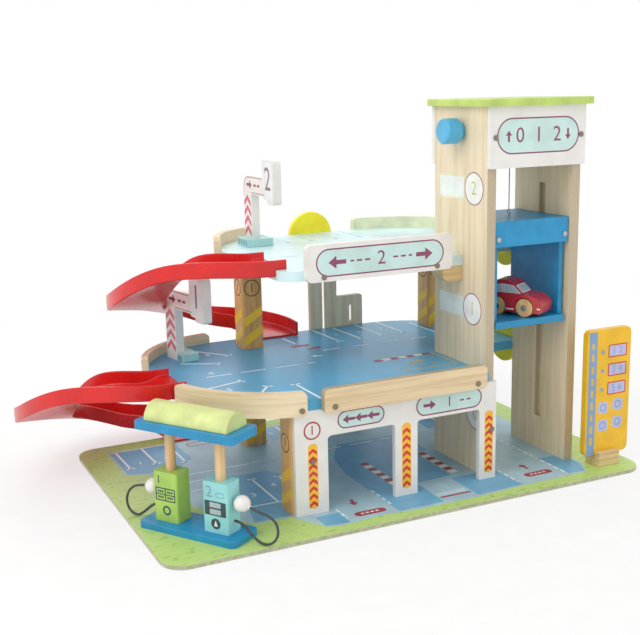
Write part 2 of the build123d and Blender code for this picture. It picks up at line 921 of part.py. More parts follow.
def make_ramp(name, deck_left, y, deck_top):
    """The channel follows its path from the hook on the deck's edge down to the level below."""
    low = deck_top - ramp_hook_depth
    fall = deck_spacing - ramp_hook_depth - ramp_foot_gap
    turn_start = ramp_lead
    turn_end = turn_start + pi * ramp_turn_radius
    straight_end = turn_end + ramp_straight
    stretches = (
        (0.0, turn_start, 1),
        (turn_start, turn_end, ramp_turn_steps),
        (turn_end, straight_end, ramp_straight_steps),
        (straight_end, ramp_length, ramp_end_steps),
    )
    with BuildPart() as ramp:
        for start, end, steps in stretches:
            for k in range(steps + 1):
                s = start + (end - start) * k / steps
                (px, py), (hx, hy) = ramp_point(s)
                z = low - fall * ramp_share(s / ramp_length)
                floor = ramp_wall + ramp_hook_depth * max(0.0, 1 - s / ramp_blend) ** 2
                section = Plane(origin=(deck_left + px, y + py, z), x_dir=(-hy, hx, 0), z_dir=(hx, hy, 0))
                with BuildSketch(section):
                    with BuildLine():
                        Polyline(*channel(ramp_width, ramp_wall, ramp_height, floor), close=True)
                    make_face()
            loft()
        tongue = Plane(origin=(deck_left, y, deck_top), x_dir=(0, 1, 0), z_dir=(1, 0, 0))
        with BuildSketch(tongue):
            with BuildLine():
                Polyline(
                    *channel(ramp_width, ramp_wall, ramp_height - ramp_hook_depth, ramp_wall), close=True
                )
            make_face()
        extrude(amount=ramp_hook_length)
    save(ramp.part, name)


# ---------------------------------------------------------------- pump station


def station_plane(z):
    angle = radians(station_turn)
    return Plane(origin=(station_x, station_y, z), x_dir=(cos(angle), sin(angle), 0), z_dir=(0, 0, 1))


def make_station():
    with BuildPart() as island:
        with BuildSketch(station_plane(board_thick)):
            RectangleRounded(island_length, island_width, island_corner)
        extrude(amount=island_thick)
        fillet(island.faces().sort_by(Axis.Z)[-1].edges(), island_round)
    save(island.part, "pump_island")

    end_face = pump_spacing / 2 + pump_width / 2
    base = station_plane(0)
    for name, side, route in (("pump_1", -1, hose_1_route), ("pump_2", 1, hose_2_route)):
        nozzle = nozzle_place(route)
        outward = Plane(
            origin=base.from_local_coords((side * end_face, 0, nozzle[1])),
            x_dir=(0, 0, 1),
            z_dir=base.x_dir * side,
        )
        with BuildPart() as pump:
            with BuildSketch(station_plane(island_top)):
                with Locations((side * pump_spacing / 2, 0)):
                    RectangleRounded(pump_width, pump_depth, pump_round)
            extrude(amount=pump_height)
            with BuildSketch(station_plane(pump_top)):
                with Locations((side * pump_spacing / 2, 0)):
                    Circle(dowel_radius)
            extrude(amount=-dowel_seat, mode=Mode.SUBTRACT)
            with BuildSketch(outward):
                Circle(nozzle_stub_radius + fit_gap)
            extrude(amount=-nozzle_stub_seat - fit_gap, mode=Mode.SUBTRACT)
        save(pump.part, name)

    dowel_places = [(side * pump_spacing / 2, 0) for side in (-1, 1)]
    with BuildPart() as dowels:
        with BuildSketch(station_plane(pump_top - dowel_seat)):
            with Locations(*dowel_places):
                Circle(dowel_radius)
        extrude(amount=dowel_length + 2 * dowel_seat)
    save(dowels.part, "canopy_dowels")

    with BuildPart() as canopy:
        with BuildSketch(station_plane(canopy_low)):
            with Locations((0, canopy_shift)):
                RectangleRounded(canopy_length, canopy_width, canopy_corner)
        extrude(amount=canopy_thick)
        with BuildSketch(station_plane(canopy_low)):
            with Locations(*dowel_places):
                Circle(dowel_radius)
        extrude(amount=dowel_seat, mode=Mode.SUBTRACT)
    save(canopy.part, "canopy_plate")

    middle = station_plane(canopy_low + canopy_thick)
    across = Plane(
        origin=middle.from_local_coords((-canopy_roof_length / 2, canopy_shift, 0)),
        x_dir=middle.y_dir,
        z_dir=middle.x_dir,
    )
    with BuildPart() as roof:
        with BuildSketch(across):
            with BuildLine():
                CenterArc((0, 0), canopy_roof_radius, 0, 180)
                Line((canopy_roof_radius, 0), (-canopy_roof_radius, 0))
            make_face()
        extrude(amount=canopy_roof_length)
    save(roof.part, "canopy_roof")


def nozzle_place(route):
    """Centre of the nozzle ball: on in the line of the hose's last run."""
    (u1, z1), (u2, z2) = route[-2:]
    run = ((u2 - u1) ** 2 + (z2 - z1) ** 2) ** 0.5
    reach = nozzle_radius + nozzle_spigot
    return u2 + (u2 - u1) / run * reach, z2 + (z2 - z1) / run * reach


def make_hose(number, route, side):
    """A hose along its route, and the ball nozzle plugged into the pump's side."""
    base = station_plane(0)
    points = [base.from_local_coords((u, 0, z)) for u, z in route]
    runs = [b - a for a, b in zip(points, points[1:])]
    radii = []
    for first, second in zip(runs, runs[1:]):
        turn = radians(first.get_angle(second))
        radii.append(0.45 * min(first.length, second.length) / tan(turn / 2))
    print(f"hose_{number} radii in diameters:", [round(r / (2 * hose_radius), 1) for r in radii])
    with BuildPart() as hose:
        with BuildLine() as path:
            line = FilletPolyline(*points, radius=radii)
        with BuildSketch(Plane(origin=points[0], z_dir=runs[0])):
            Circle(hose_radius)
        sweep(path=path.line)
    expected = pi * hose_radius**2 * line.length
    print(f"hose_{number} length {line.length:.1f} mm, volume share {hose.part.volume / expected:.4f}")
    save(hose.part, f"hose_{number}")

    u, z = nozzle_place(route)
    centre = base.from_local_coords((u, 0, z))
    inward = base.x_dir * -side
    stub_length = abs(u) - (pump_spacing + pump_width) / 2 + nozzle_stub_seat
    with BuildPart() as nozzle:
        with Locations(Plane(origin=centre, z_dir=inward)):
            Sphere(nozzle_radius)
        with BuildSketch(Plane(origin=centre, z_dir=inward)):
            Circle(nozzle_stub_radius)
        extrude(amount=stub_length)
        with BuildSketch(Plane(origin=centre, z_dir=-runs[-1])):
            Circle(nozzle_spigot_radius)
        extrude(amount=nozzle_radius + nozzle_spigot)
    save(nozzle.part, f"nozzle_{number}")


# ---------------------------------------------------------------- price sign


def make_price_sign():
    with BuildPart() as board:
        middle_z = (price_low + price_top) / 2
        with BuildSketch(front_facing(price_x, price_y - price_thick / 2, middle_z)):
            RectangleRounded(price_width, price_top - price_low, price_corner)
        extrude(amount=-price_thick)
    save(board.part, "price_board")

    with BuildPart() as block:
        with BuildSketch(Plane(origin=(price_block_x, price_y, board_thick))):
            Rectangle(price_block_width, price_block_depth)
        extrude(amount=price_block_height)
        with BuildSketch(Plane(origin=(price_block_x, price_y, price_low))):
            Rectangle(price_block_width, price_thick)
        extrude(amount=board_thick + price_block_height - price_low, mode=Mode.SUBTRACT)
    save(block.part, "price_sign_block")


def make_screws():
    with BuildPart() as screws:
        with Locations(*all_screws):
            Cylinder(screw_head_radius, screw_head_height, align=(Align.CENTER, Align.CENTER, Align.MIN))
            Cylinder(screw_radius, screw_length, align=(Align.CENTER, Align.CENTER, Align.MAX))
    save(screws.part, "panel_screws")


# ---------------------------------------------------------------- the whole garage

make_board()

make_deck(
    "deck_1", deck_1_left, deck_1_front, deck_1_rear, deck_1_front_radius, deck_1_left_radius,
    deck_1_top, front_rail_screws + bent_rail_screws,
)
make_deck(
    "deck_2", deck_2_left, deck_2_front, deck_2_rear, deck_2_front_radius, deck_2_left_radius,
    deck_2_top, name_board_screws,
)

make_front_rail()
make_bent_rail(
    "rail_deck_1_front_left", corner_1, deck_1_front_radius, front_left_rail_start, front_left_rail_end,
    rail_top_1, bent_rail_screws,
)
make_bent_rail(
    "rail_deck_1_rear_left",
    (deck_1_left + deck_1_left_radius, deck_1_rear - deck_1_left_radius),
    deck_1_left_radius, *rear_left_rail_1, rail_top_1,
)
make_bent_rail(
    "rail_deck_2_rear_left",
    (deck_2_left + deck_2_left_radius, deck_2_rear - deck_2_left_radius),
    deck_2_left_radius, *rear_left_rail_2, rail_top_2,
)
make_bent_rail(
    "rail_deck_2_rear_right",
    (deck_right - deck_right_radius, deck_2_rear - deck_right_radius),
    deck_right_radius, *rear_right_rail_2, rail_top_2,
)
make_name_board()
make_support_block()

make_post("post_ground_front_left", front_post_x, front_post_y, board_thick, deck_1_under, facade_screws[:1])
make_post("post_ground_back_left", back_post_x, back_post_y, board_thick, deck_1_under)
make_post("post_ground_back_right", right_post_x, right_post_y, board_thick, deck_1_under)
make_post("post_deck_1_back_left", back_post_x, back_post_y, deck_1_top, deck_2_under)
make_post("post_deck_1_back_right", right_post_x, right_post_y, deck_1_top, deck_2_under)
make_rear_panel()

for disc_name, deck_top_z in (("guard_disc_right_1", deck_1_top), ("guard_disc_right_2", deck_2_top)):
    edge = Plane(
        origin=(deck_right, side_disc_y, deck_top_z - deck_thick / 2), x_dir=(0, 1, 0), z_dir=(1, 0, 0)
    )
    make_disc(disc_name, edge)
make_disc(
    "guard_disc_rear",
    Plane(
        origin=(rear_disc_x, deck_2_rear, deck_2_top - deck_thick / 2 + rear_disc_lift),
        x_dir=(-1, 0, 0),
        z_dir=(0, 1, 0),
    ),
)

make_level_sign("level_sign_1", sign_1_place, sign_1_turn, deck_1_top)
make_level_sign("level_sign_2", sign_2_place, sign_2_turn, deck_2_top)
make_sign_base("sign_base_1", sign_1_place, sign_1_turn, deck_1_top, 0)
make_sign_base("sign_base_2", sign_2_place, sign_2_turn, deck_2_top, sign_2_base_left)

make_facade()
make_side_panel(
    "tower_panel_left", tower_left, shaft_left, panel_thick, facade_screws[1:] + header_screws[:1]
)
make_side_panel("tower_panel_right", tower_right, shaft_right, spindle_seat, header_screws[1:])
make_header("tower_header_front", tower_front, header_screws)
make_header("tower_header_back", tower_back + plate_thick)
make_roof()
make_screws()

make_knob()
make_lift_cord()
make_cab()
make_car()

make_ramp("ramp_upper", deck_2_left, ramp_upper_y, deck_2_top)
make_ramp("ramp_lower", deck_1_left, ramp_lower_y, deck_1_top)

make_station()
make_hose(1, hose_1_route, -1)
make_hose(2, hose_2_route, 1)
make_price_sign()
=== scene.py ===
"""Toy parking garage with lift: the visual model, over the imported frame."""

import json
from math import cos, pi, radians, sin

import bmesh
import bpy
from mathutils import Matrix, Vector

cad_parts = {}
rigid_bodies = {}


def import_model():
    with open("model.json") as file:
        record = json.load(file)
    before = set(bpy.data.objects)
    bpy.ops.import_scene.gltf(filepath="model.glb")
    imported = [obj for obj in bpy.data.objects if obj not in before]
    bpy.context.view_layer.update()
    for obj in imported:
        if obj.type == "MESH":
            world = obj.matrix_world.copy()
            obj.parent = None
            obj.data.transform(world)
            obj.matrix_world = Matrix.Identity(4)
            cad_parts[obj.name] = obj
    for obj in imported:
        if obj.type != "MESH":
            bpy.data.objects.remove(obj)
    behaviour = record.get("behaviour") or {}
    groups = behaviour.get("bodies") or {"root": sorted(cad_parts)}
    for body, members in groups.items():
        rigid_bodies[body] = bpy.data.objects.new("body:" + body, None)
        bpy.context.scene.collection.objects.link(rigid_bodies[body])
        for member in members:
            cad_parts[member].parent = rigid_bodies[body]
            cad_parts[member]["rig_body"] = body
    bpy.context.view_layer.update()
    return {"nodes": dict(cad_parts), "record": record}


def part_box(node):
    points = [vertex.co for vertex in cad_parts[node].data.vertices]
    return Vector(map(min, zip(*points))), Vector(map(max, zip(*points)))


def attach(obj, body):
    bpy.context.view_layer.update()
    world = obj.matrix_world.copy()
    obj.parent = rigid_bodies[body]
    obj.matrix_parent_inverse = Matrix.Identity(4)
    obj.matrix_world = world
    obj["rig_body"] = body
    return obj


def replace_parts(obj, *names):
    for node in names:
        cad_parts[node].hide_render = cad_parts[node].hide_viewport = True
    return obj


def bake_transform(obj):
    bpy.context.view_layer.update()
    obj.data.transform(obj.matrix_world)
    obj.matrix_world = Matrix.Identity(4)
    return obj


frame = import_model()

MM = 0.001
UP = Vector((0, 0, 1))

# Strength of the even light, and the distances in metres over which the floor turns white.
WORLD_LIGHT = 0.9
FLOOR_NEAR, FLOOR_FAR, FLOOR_GLOW = 0.55, 1.2, 0.6
FLOOR_HALF, FLOOR_DROP = 6.0, 0.0003

# Tones that are used more than once.
GRASS = "bcd97d"
WHITE = "e9e6e1"
CAB_BLUE = "1d8cbd"


def low_side(node, axis):
    """Where a CAD node begins along an axis (0, 1 or 2), in millimetres."""
    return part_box(node)[0][axis] / MM


def high_side(node, axis):
    """Where a CAD node ends along an axis, in millimetres."""
    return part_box(node)[1][axis] / MM


# The decks' tops, and the edges that the ramps hang on.
DECK_1_TOP = high_side("deck_1", 2)
DECK_2_TOP = high_side("deck_2", 2)
DECK_1_LEFT = low_side("deck_1", 0)
DECK_2_LEFT = low_side("deck_2", 0)


def rgb(text):
    """A hex colour as linear light."""
    values = [int(text[i : i + 2], 16) / 255 for i in (0, 2, 4)]
    return tuple(v / 12.92 if v <= 0.04045 else ((v + 0.055) / 1.055) ** 2.4 for v in values) + (1.0,)


# ---- camera, floor and light


# The photograph's camera, found by fitting the board, the tower and the decks.
CAMERA_PLACE = Vector((-0.61779, -1.21612, 0.49583))
CAMERA_YAW, CAMERA_PITCH, CAMERA_ROLL = radians(25.39), radians(-12.18), radians(-1.21)
FOCAL_LENGTH, PHOTO_WIDTH, SENSOR_WIDTH = 1059.78, 640, 36.0

# Lamps: name, place, target and size in metres, watts, colour.
LAMPS = (
    ("key", (-1.9, -0.6, 2.1), (0.0, 0.0, 0.15), 1.7, 22, (1.0, 0.985, 0.96)),
    ("fill", (1.6, -1.7, 1.2), (0.1, 0.0, 0.2), 2.0, 3, (0.96, 0.98, 1.0)),
    ("back", (0.4, 2.2, 1.9), (0.0, 0.0, 0.2), 1.8, 10, (1.0, 1.0, 1.0)),
)


def make_camera():
    """Its focal length is in the photograph's pixels, and is turned into the sensor's millimetres."""
    yaw, pitch, roll = CAMERA_YAW, CAMERA_PITCH, CAMERA_ROLL
    forward = Vector((sin(yaw) * cos(pitch), cos(yaw) * cos(pitch), sin(pitch)))
    level = Vector((cos(yaw), -sin(yaw), 0))
    above = level.cross(forward)
    right = level * cos(roll) + above * sin(roll)
    up = above * cos(roll) - level * sin(roll)
    camera = bpy.data.cameras.new("camera")
    camera.lens = SENSOR_WIDTH * FOCAL_LENGTH / PHOTO_WIDTH
    camera.clip_end = 20
    holder = bpy.data.objects.new("camera", camera)
    turn = Matrix((right, up, -forward)).transposed().to_4x4()
    holder.matrix_world = Matrix.Translation(CAMERA_PLACE) @ turn
    bpy.context.scene.collection.objects.link(holder)
    bpy.context.scene.camera = holder


def area_light(name, place, target, size, power, colour):
    light = bpy.data.lights.new(name, "AREA")
    light.shape = "DISK"
    light.size = size
    light.energy = power
    light.color = colour
    holder = bpy.data.objects.new(name, light)
    turn = (Vector(target) - Vector(place)).to_track_quat("-Z", "Y").to_matrix().to_4x4()
    holder.matrix_world = Matrix.Translation(place) @ turn
    bpy.context.scene.collection.objects.link(holder)


def make_studio():
    for lamp in LAMPS:
        area_light(*lamp)
    make_world()
    bpy.context.scene.view_settings.view_transform = "Standard"
    make_floor()


def mixed_surface(tree, share, first, second, output):
    """Sends two shaders, mixed by a share, to an output node."""
    mix = tree.nodes.new("ShaderNodeMixShader")
    for socket, source in zip(mix.inputs, (share, first, second)):
        tree.links.new(source, socket)
    tree.links.new(mix.outputs[0], tree.nodes[output].inputs["Surface"])


def make_world():
    """Even light on the object. The camera and mirror-like surfaces see white."""
    world = bpy.data.worlds.new("studio")
    world.use_nodes = True
    tree = world.node_tree
    light = tree.nodes["Background"]
    seen = tree.nodes.new("ShaderNodeBackground")
    for background, strength in ((light, WORLD_LIGHT), (seen, 1.0)):
        background.inputs["Color"].default_value = (1.0, 1.0, 1.0, 1.0)
        background.inputs["Strength"].default_value = strength
    mixed_surface(tree, white_rays(tree), light.outputs[0], seen.outputs[0], "World Output")
    bpy.context.scene.world = world


def white_rays(tree):
    """1 for the rays that show a white background: camera, glossy and transmission."""
    path = tree.nodes.new("ShaderNodeLightPath")
    total = path.outputs["Is Camera Ray"]
    for name in ("Is Glossy Ray", "Is Transmission Ray"):
        add = tree.nodes.new("ShaderNodeMath")
        add.operation = "MAXIMUM"
        tree.links.new(total, add.inputs[0])
        tree.links.new(path.outputs[name], add.inputs[1])
        total = add.outputs[0]
    return total


def make_floor():
    """White paper: it takes the object's soft shadow, and turns into pure white further away."""
    floor_mesh = bpy.data.meshes.new("floor")
    h = FLOOR_HALF
    floor_mesh.from_pydata([(-h, -h, 0), (h, -h, 0), (h, h, 0), (-h, h, 0)], [], [(0, 1, 2, 3)])
    floor = bpy.data.objects.new("floor", floor_mesh)
    floor.location.z = -FLOOR_DROP
    bpy.context.scene.collection.objects.link(floor)
    shader = Shader("floor_paper", "f4f4f4", 0.95)
    shader.colour(shader.speckle("f6f6f6", "f1f1f1", 30))
    shader.surface.inputs["Specular IOR Level"].default_value = 0.0
    reach = shader.node("VectorMath", {0: shader.place}, operation="LENGTH").outputs["Value"]
    far = shader.node("MapRange", {"Value": reach, "From Min": FLOOR_NEAR, "From Max": FLOOR_FAR})
    lift = shader.node("MapRange", {"Value": far.outputs[0], "To Min": FLOOR_GLOW, "To Max": 1.0})
    glow = shader.node("Emission", {"Color": (1.0, 1.0, 1.0, 1.0), "Strength": 1.0})
    only_seen = shader.maths("MULTIPLY", lift.outputs[0], white_rays(shader.tree))
    mixed_surface(shader.tree, only_seen, shader.surface.outputs[0], glow.outputs[0], "Material Output")
    floor_mesh.materials.append(shader.material)


# ---- materials


class Shader:
    """One procedural material. Its coordinates are the piece's own, in metres."""

    def __init__(self, name, base, roughness, **sockets):
        self.material = bpy.data.materials.new(name)
        self.material.use_nodes = True
        self.tree = self.material.node_tree
        self.surface = self.tree.nodes["Principled BSDF"]
        self.surface.inputs["Base Color"].default_value = rgb(base)
        self.surface.inputs["Roughness"].default_value = roughness
        for key, value in sockets.items():
            self.surface.inputs[key.replace("_", " ")].default_value = value
        self.place = self.node("TexCoord").outputs["Object"]

    def node(self, kind, inputs=(), **settings):
        made = self.tree.nodes.new("ShaderNode" + kind)
        for key, value in settings.items():
            setattr(made, key, value)
        for key, value in dict(inputs).items():
            if isinstance(value, bpy.types.NodeSocket):
                self.tree.links.new(value, made.inputs[key])
            else:
                made.inputs[key].default_value = value
        return made

    def maths(self, operation, a, b=0.0):
        return self.node("Math", {0: a, 1: b}, operation=operation).outputs[0]

    def noise(self, stretch, detail=3.0, seed=0.0):
        """Noise whose features are about 1 / stretch metres, the same along each axis or one by one."""
        scale = stretch if isinstance(stretch, tuple) else (stretch,) * 3
        facts = {"Vector": self.place, "Location": (seed,) * 3, "Scale": scale}
        moved = self.node("Mapping", facts).outputs[0]
        return self.node("TexNoise", {"Vector": moved, "Scale": 1.0, "Detail": detail}).outputs["Fac"]

    def ramp(self, value, stops):
        """Colours over a value: stops are (position, hex)."""
        made = self.node("ValToRGB", {"Fac": value})
        elements = made.color_ramp.elements
        while len(elements) < len(stops):
            elements.new(0.5)
        for element, (position, colour) in zip(elements, stops):
            element.position = position
            element.color = rgb(colour)
        return made.outputs["Color"]

    def mix(self, share, a, b):
        made = self.node("Mix", {}, data_type="RGBA")
        for index, value in ((0, share), (6, a), (7, b)):
            if isinstance(value, bpy.types.NodeSocket):
                self.tree.links.new(value, made.inputs[index])
            else:
                made.inputs[index].default_value = value
        return made.outputs[2]

    def colour(self, socket):
        self.tree.links.new(socket, self.surface.inputs["Base Color"])

    def rough(self, low, high, value):
        spread = self.node("MapRange", {"Value": value, "To Min": low, "To Max": high})
        self.tree.links.new(spread.outputs[0], self.surface.inputs["Roughness"])

    def bump(self, height, strength, depth=0.0002):
        made = self.node("Bump", {"Height": height, "Strength": strength, "Distance": depth})
        self.tree.links.new(made.outputs[0], self.surface.inputs["Normal"])

    def speckle(self, light, dark, scale):
        """Two tones in small soft spots."""
        return self.ramp(self.noise(scale), [(0.35, dark), (0.65, light)])

    def facing(self, axis):
        """1 where the surface faces along this axis, 0 on the edges."""
        normal = self.node("SeparateXYZ", {0: self.node("TexCoord").outputs["Normal"]})
        along = self.maths("ABSOLUTE", normal.outputs[axis])
        return self.maths("GREATER_THAN", along, 0.7)

    def ply_edge(self, axis, light, dark):
        """Stacked veneers along an axis, each with its own end grain."""
        along = self.node("SeparateXYZ", {0: self.place}).outputs[axis]
        stack = self.maths("FRACT", self.maths("MULTIPLY", along, 0.5 / (VENEER * MM)))
        stripe = self.maths("GREATER_THAN", stack, 0.5)
        grain = self.noise(260, 2.0, 3.0)
        mixed = self.maths("ADD", self.maths("MULTIPLY", stripe, 0.55), self.maths("MULTIPLY", grain, 0.4))
        return self.ramp(mixed, [(0.1, light), (0.9, dark)])


def shade(text, factor):
    """A hex colour made darker or lighter."""
    values = [min(255, int(int(text[i : i + 2], 16) * factor)) for i in (0, 2, 4)]
    return "".join(f"{v:02x}" for v in values)


def painted(name, colour, roughness=0.42, coat=0.15, spread=0.05):
    """Sprayed paint over wood: slightly uneven tone and a faint brush and grain relief."""
    shader = Shader(name, colour, roughness, Coat_Weight=coat, Coat_Roughness=0.25)
    shader.colour(shader.speckle(shade(colour, 1 + spread), shade(colour, 1 - spread), 38))
    shader.rough(roughness - 0.06, roughness + 0.08, shader.noise(120, 3.0, 9.0))
    shader.bump(shader.noise(900, 2.0, 5.0), 0.12)
    return shader.material


# How fine the figure and the pores are along each axis, by the way that the grain runs, and the
# thickness of a veneer in millimetres.
GRAIN = {"X": (7, 170, 170), "Y": (170, 7, 170), "Z": (170, 170, 7), "level": (7, 7, 190)}
FIBRE = {"X": (30, 1500, 1500), "Y": (1500, 30, 1500), "Z": (1500, 1500, 30), "level": (30, 30, 1500)}
VENEER = 1.4


def wood_colour(shader, grain, light, dark, seed):
    """Long soft figure with short dark pores in it."""
    figure = shader.noise(GRAIN[grain], 5.0, seed)
    pores = shader.noise(FIBRE[grain], 2.0, seed + 4)
    broad = shader.maths("MULTIPLY", figure, 0.7)
    both = shader.maths("ADD", broad, shader.maths("MULTIPLY", pores, 0.3))
    return shader.ramp(both, [(0.36, dark), (0.52, light), (0.7, shade(light, 1.04))]), pores


def natural(name, grain, light, dark, seed, ply_axis=None):
    """Clear-lacquered birch. With ply_axis, the edges show the veneers stacked along that axis, in darker
    tones that are partly painted shade.
    """
    shader = Shader(name, light, 0.46, Coat_Weight=0.2, Coat_Roughness=0.3)
    face, pores = wood_colour(shader, grain, light, dark, seed)
    if ply_axis:
        # The veneer stripes on the edges are real; their tones, darker than the faces' (0.86 and 0.8), are
        # painted shade.
        veneers = shader.ply_edge(ply_axis, shade(light, 0.86), shade(dark, 0.8))
        face = shader.mix(shader.facing(ply_axis), veneers, face)
    shader.colour(face)
    shader.rough(0.4, 0.56, pores)
    shader.bump(pores, 0.18)
    return shader.material


def grass_print():
    """The ground board: lime print with darker tufts, and a grey-brown sheet edge."""
    shader = Shader("board_print", GRASS, 0.5, Coat_Weight=0.1, Coat_Roughness=0.3)
    tufts = shader.noise((95, 240, 95), 4.0, 2.0)
    lawn = shader.ramp(tufts, [(0.33, "9cbf60"), (0.43, GRASS), (0.62, GRASS), (0.74, "c2dd84")])
    edge = shader.speckle("bcbf9c", "a3a585", 160)
    shader.colour(shader.mix(shader.facing("Z"), edge, lawn))
    shader.rough(0.42, 0.58, tufts)
    shader.bump(shader.noise(700, 2.0), 0.1)
    return shader.material


def deck_print(name, colour, seed):
    """A printed deck: soft cloudy tone, faint grain through the paint."""
    shader = Shader(name, colour, 0.4, Coat_Weight=0.12, Coat_Roughness=0.2)
    cloud = shader.noise(14, 3.0, seed)
    tones = [(0.3, shade(colour, 0.92)), (0.55, colour), (0.75, shade(colour, 1.07))]
    shader.colour(shader.ramp(cloud, tones))
    shader.rough(0.28, 0.42, cloud)
    shader.bump(shader.noise((60, 1300, 1300), 2.0, seed), 0.1)
    return shader.material


def moulded(name, colour):
    """Glossy injection-moulded plastic."""
    shader = Shader(name, colour, 0.28, Coat_Weight=0.2, Coat_Roughness=0.1)
    tones = [(0.3, shade(colour, 0.93)), (0.7, shade(colour, 1.05))]
    shader.colour(shader.ramp(shader.noise(25), tones))
    shader.rough(0.22, 0.36, shader.noise(60, 4.0, 3.0))
    shader.bump(shader.noise(450, 2.0), 0.05)
    return shader.material


def metal(name, colour, roughness):
    """Turned steel with fine uneven wear."""
    shader = Shader(name, colour, roughness, Metallic=1.0)
    wear = shader.noise(1800)
    shader.colour(shader.ramp(wear, [(0.3, shade(colour, 0.8)), (0.7, colour)]))
    shader.rough(roughness - 0.08, roughness + 0.15, wear)
    shader.bump(wear, 0.1, 0.00005)
    return shader.material


def rubber(name, colour):
    """Dull flexible rubber."""
    shader = Shader(name, colour, 0.6)
    shader.colour(shader.speckle(shade(colour, 1.25), shade(colour, 0.8), 600))
    shader.bump(shader.noise(2500, 2.0), 0.2, 0.0001)
    return shader.material


def twisted_fibre(name, colour):
    """Twisted twine: slanting strands round the cord, with painted shade in the grooves and painted
    highlight on the ridges.
    """
    shader = Shader(name, colour, 0.8)
    parts = shader.node("SeparateXYZ", {0: shader.place})
    across = shader.maths("MULTIPLY", parts.outputs["X"], 900)
    slant = shader.maths("ADD", across, shader.maths("MULTIPLY", parts.outputs["Z"], 700))
    strand = shader.maths("SINE", shader.maths("MULTIPLY", slant, 2 * pi))
    share = shader.maths("MULTIPLY", shader.maths("ADD", strand, 1.0), 0.5)
    # The strands' relief is also painted into the colour: darker in the grooves (painted shade), lighter
    # on the ridges (painted highlight).
    shader.colour(shader.ramp(share, [(0.0, shade(colour, 0.7)), (1.0, shade(colour, 1.3))]))
    shader.bump(strand, 0.4, 0.0001)
    return shader.material


# ---- pieces


# A CAD mesh: the gap in metres that is welded, and the angles in degrees between faces that count
# as flat, that shade as an edge and that are eased.
WELD_GAP = 2e-6
FLAT_ANGLE, SHARP_ANGLE, EASED_ANGLE = 0.5, 32, 40


def new_piece(name, mesh, body, material):
    """A piece of the scene on a body, with its material."""
    piece = bpy.data.objects.new(name, mesh)
    bpy.context.scene.collection.objects.link(piece)
    mesh.materials.clear()
    mesh.materials.append(material)
    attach(piece, body)
    return piece


def finished(work, name):
    """The mesh of some modelling work, with its faces turned outwards."""
    bmesh.ops.recalc_face_normals(work, faces=work.faces)
    mesh = bpy.data.meshes.new(name)
    work.to_mesh(mesh)
    work.free()
    return mesh


def loft(work, rings):
    """Joins rings of vertices, as many in each, into one closed skin."""
    for first, second in zip(rings, rings[1:]):
        for k in range(len(first)):
            j = (k + 1) % len(first)
            work.faces.new((first[k], first[j], second[j], second[k]))
    work.faces.new(list(reversed(rings[0])))
    work.faces.new(rings[-1])


def slot_of(node):
    return next(s["material_slot"] for s in frame["record"]["subparts"] if s["node"] == node)


def dressed(node, material, edge, steps=2):
    """A CAD node's shape with its faces made whole, its edges eased and its own finish."""
    source = frame["nodes"][node]
    mesh = source.data.copy()
    mesh.name = node + "_shape"
    work = bmesh.new()
    work.from_mesh(mesh)
    bmesh.ops.remove_doubles(work, verts=work.verts, dist=WELD_GAP)
    flat = radians(FLAT_ANGLE)
    bmesh.ops.dissolve_limit(work, angle_limit=flat, verts=work.verts, edges=work.edges)
    work.to_mesh(mesh)
    work.free()
    mesh.shade_smooth()
    mesh.set_sharp_from_angle(angle=radians(SHARP_ANGLE))
    piece = new_piece("look_" + node, mesh, source["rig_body"], material)
    if edge:
        bevel = piece.modifiers.new("eased_edges", "BEVEL")
        bevel.width = edge * MM
        bevel.segments = steps
        bevel.limit_method = "ANGLE"
        bevel.angle_limit = radians(EASED_ANGLE)
        bevel.harden_normals = True
    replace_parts(piece, node)
    return piece


class Face:
    """A CAD node's flat face that takes print: a point on it in millimetres, its right and its up."""

    def __init__(self, node, origin, right, up):
        self.body = frame["nodes"][node]["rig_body"]
        self.slot = slot_of(node)
        self.right = Vector(right).normalized()
        self.up = Vector(up).normalized()
        self.out = self.right.cross(self.up)
        self.origin = Vector(origin) * MM

    def at(self, u, v, lift):
        """A point in metres, from millimetres along the face and off it."""
        return self.origin + (self.right * u + self.up * v + self.out * lift) * MM


def front(node):
    return Face(node, (0, low_side(node, 1), 0), (1, 0, 0), UP)


def top(node):
    return Face(node, (0, 0, high_side(node, 2)), (1, 0, 0), (0, 1, 0))


def left_side(node):
    """The face that looks to the left. Its right direction is towards the front."""
    return Face(node, (low_side(node, 0), 0, 0), (0, -1, 0), UP)


# A digit's share of its font's size.
DIGIT_SHARE = 0.7


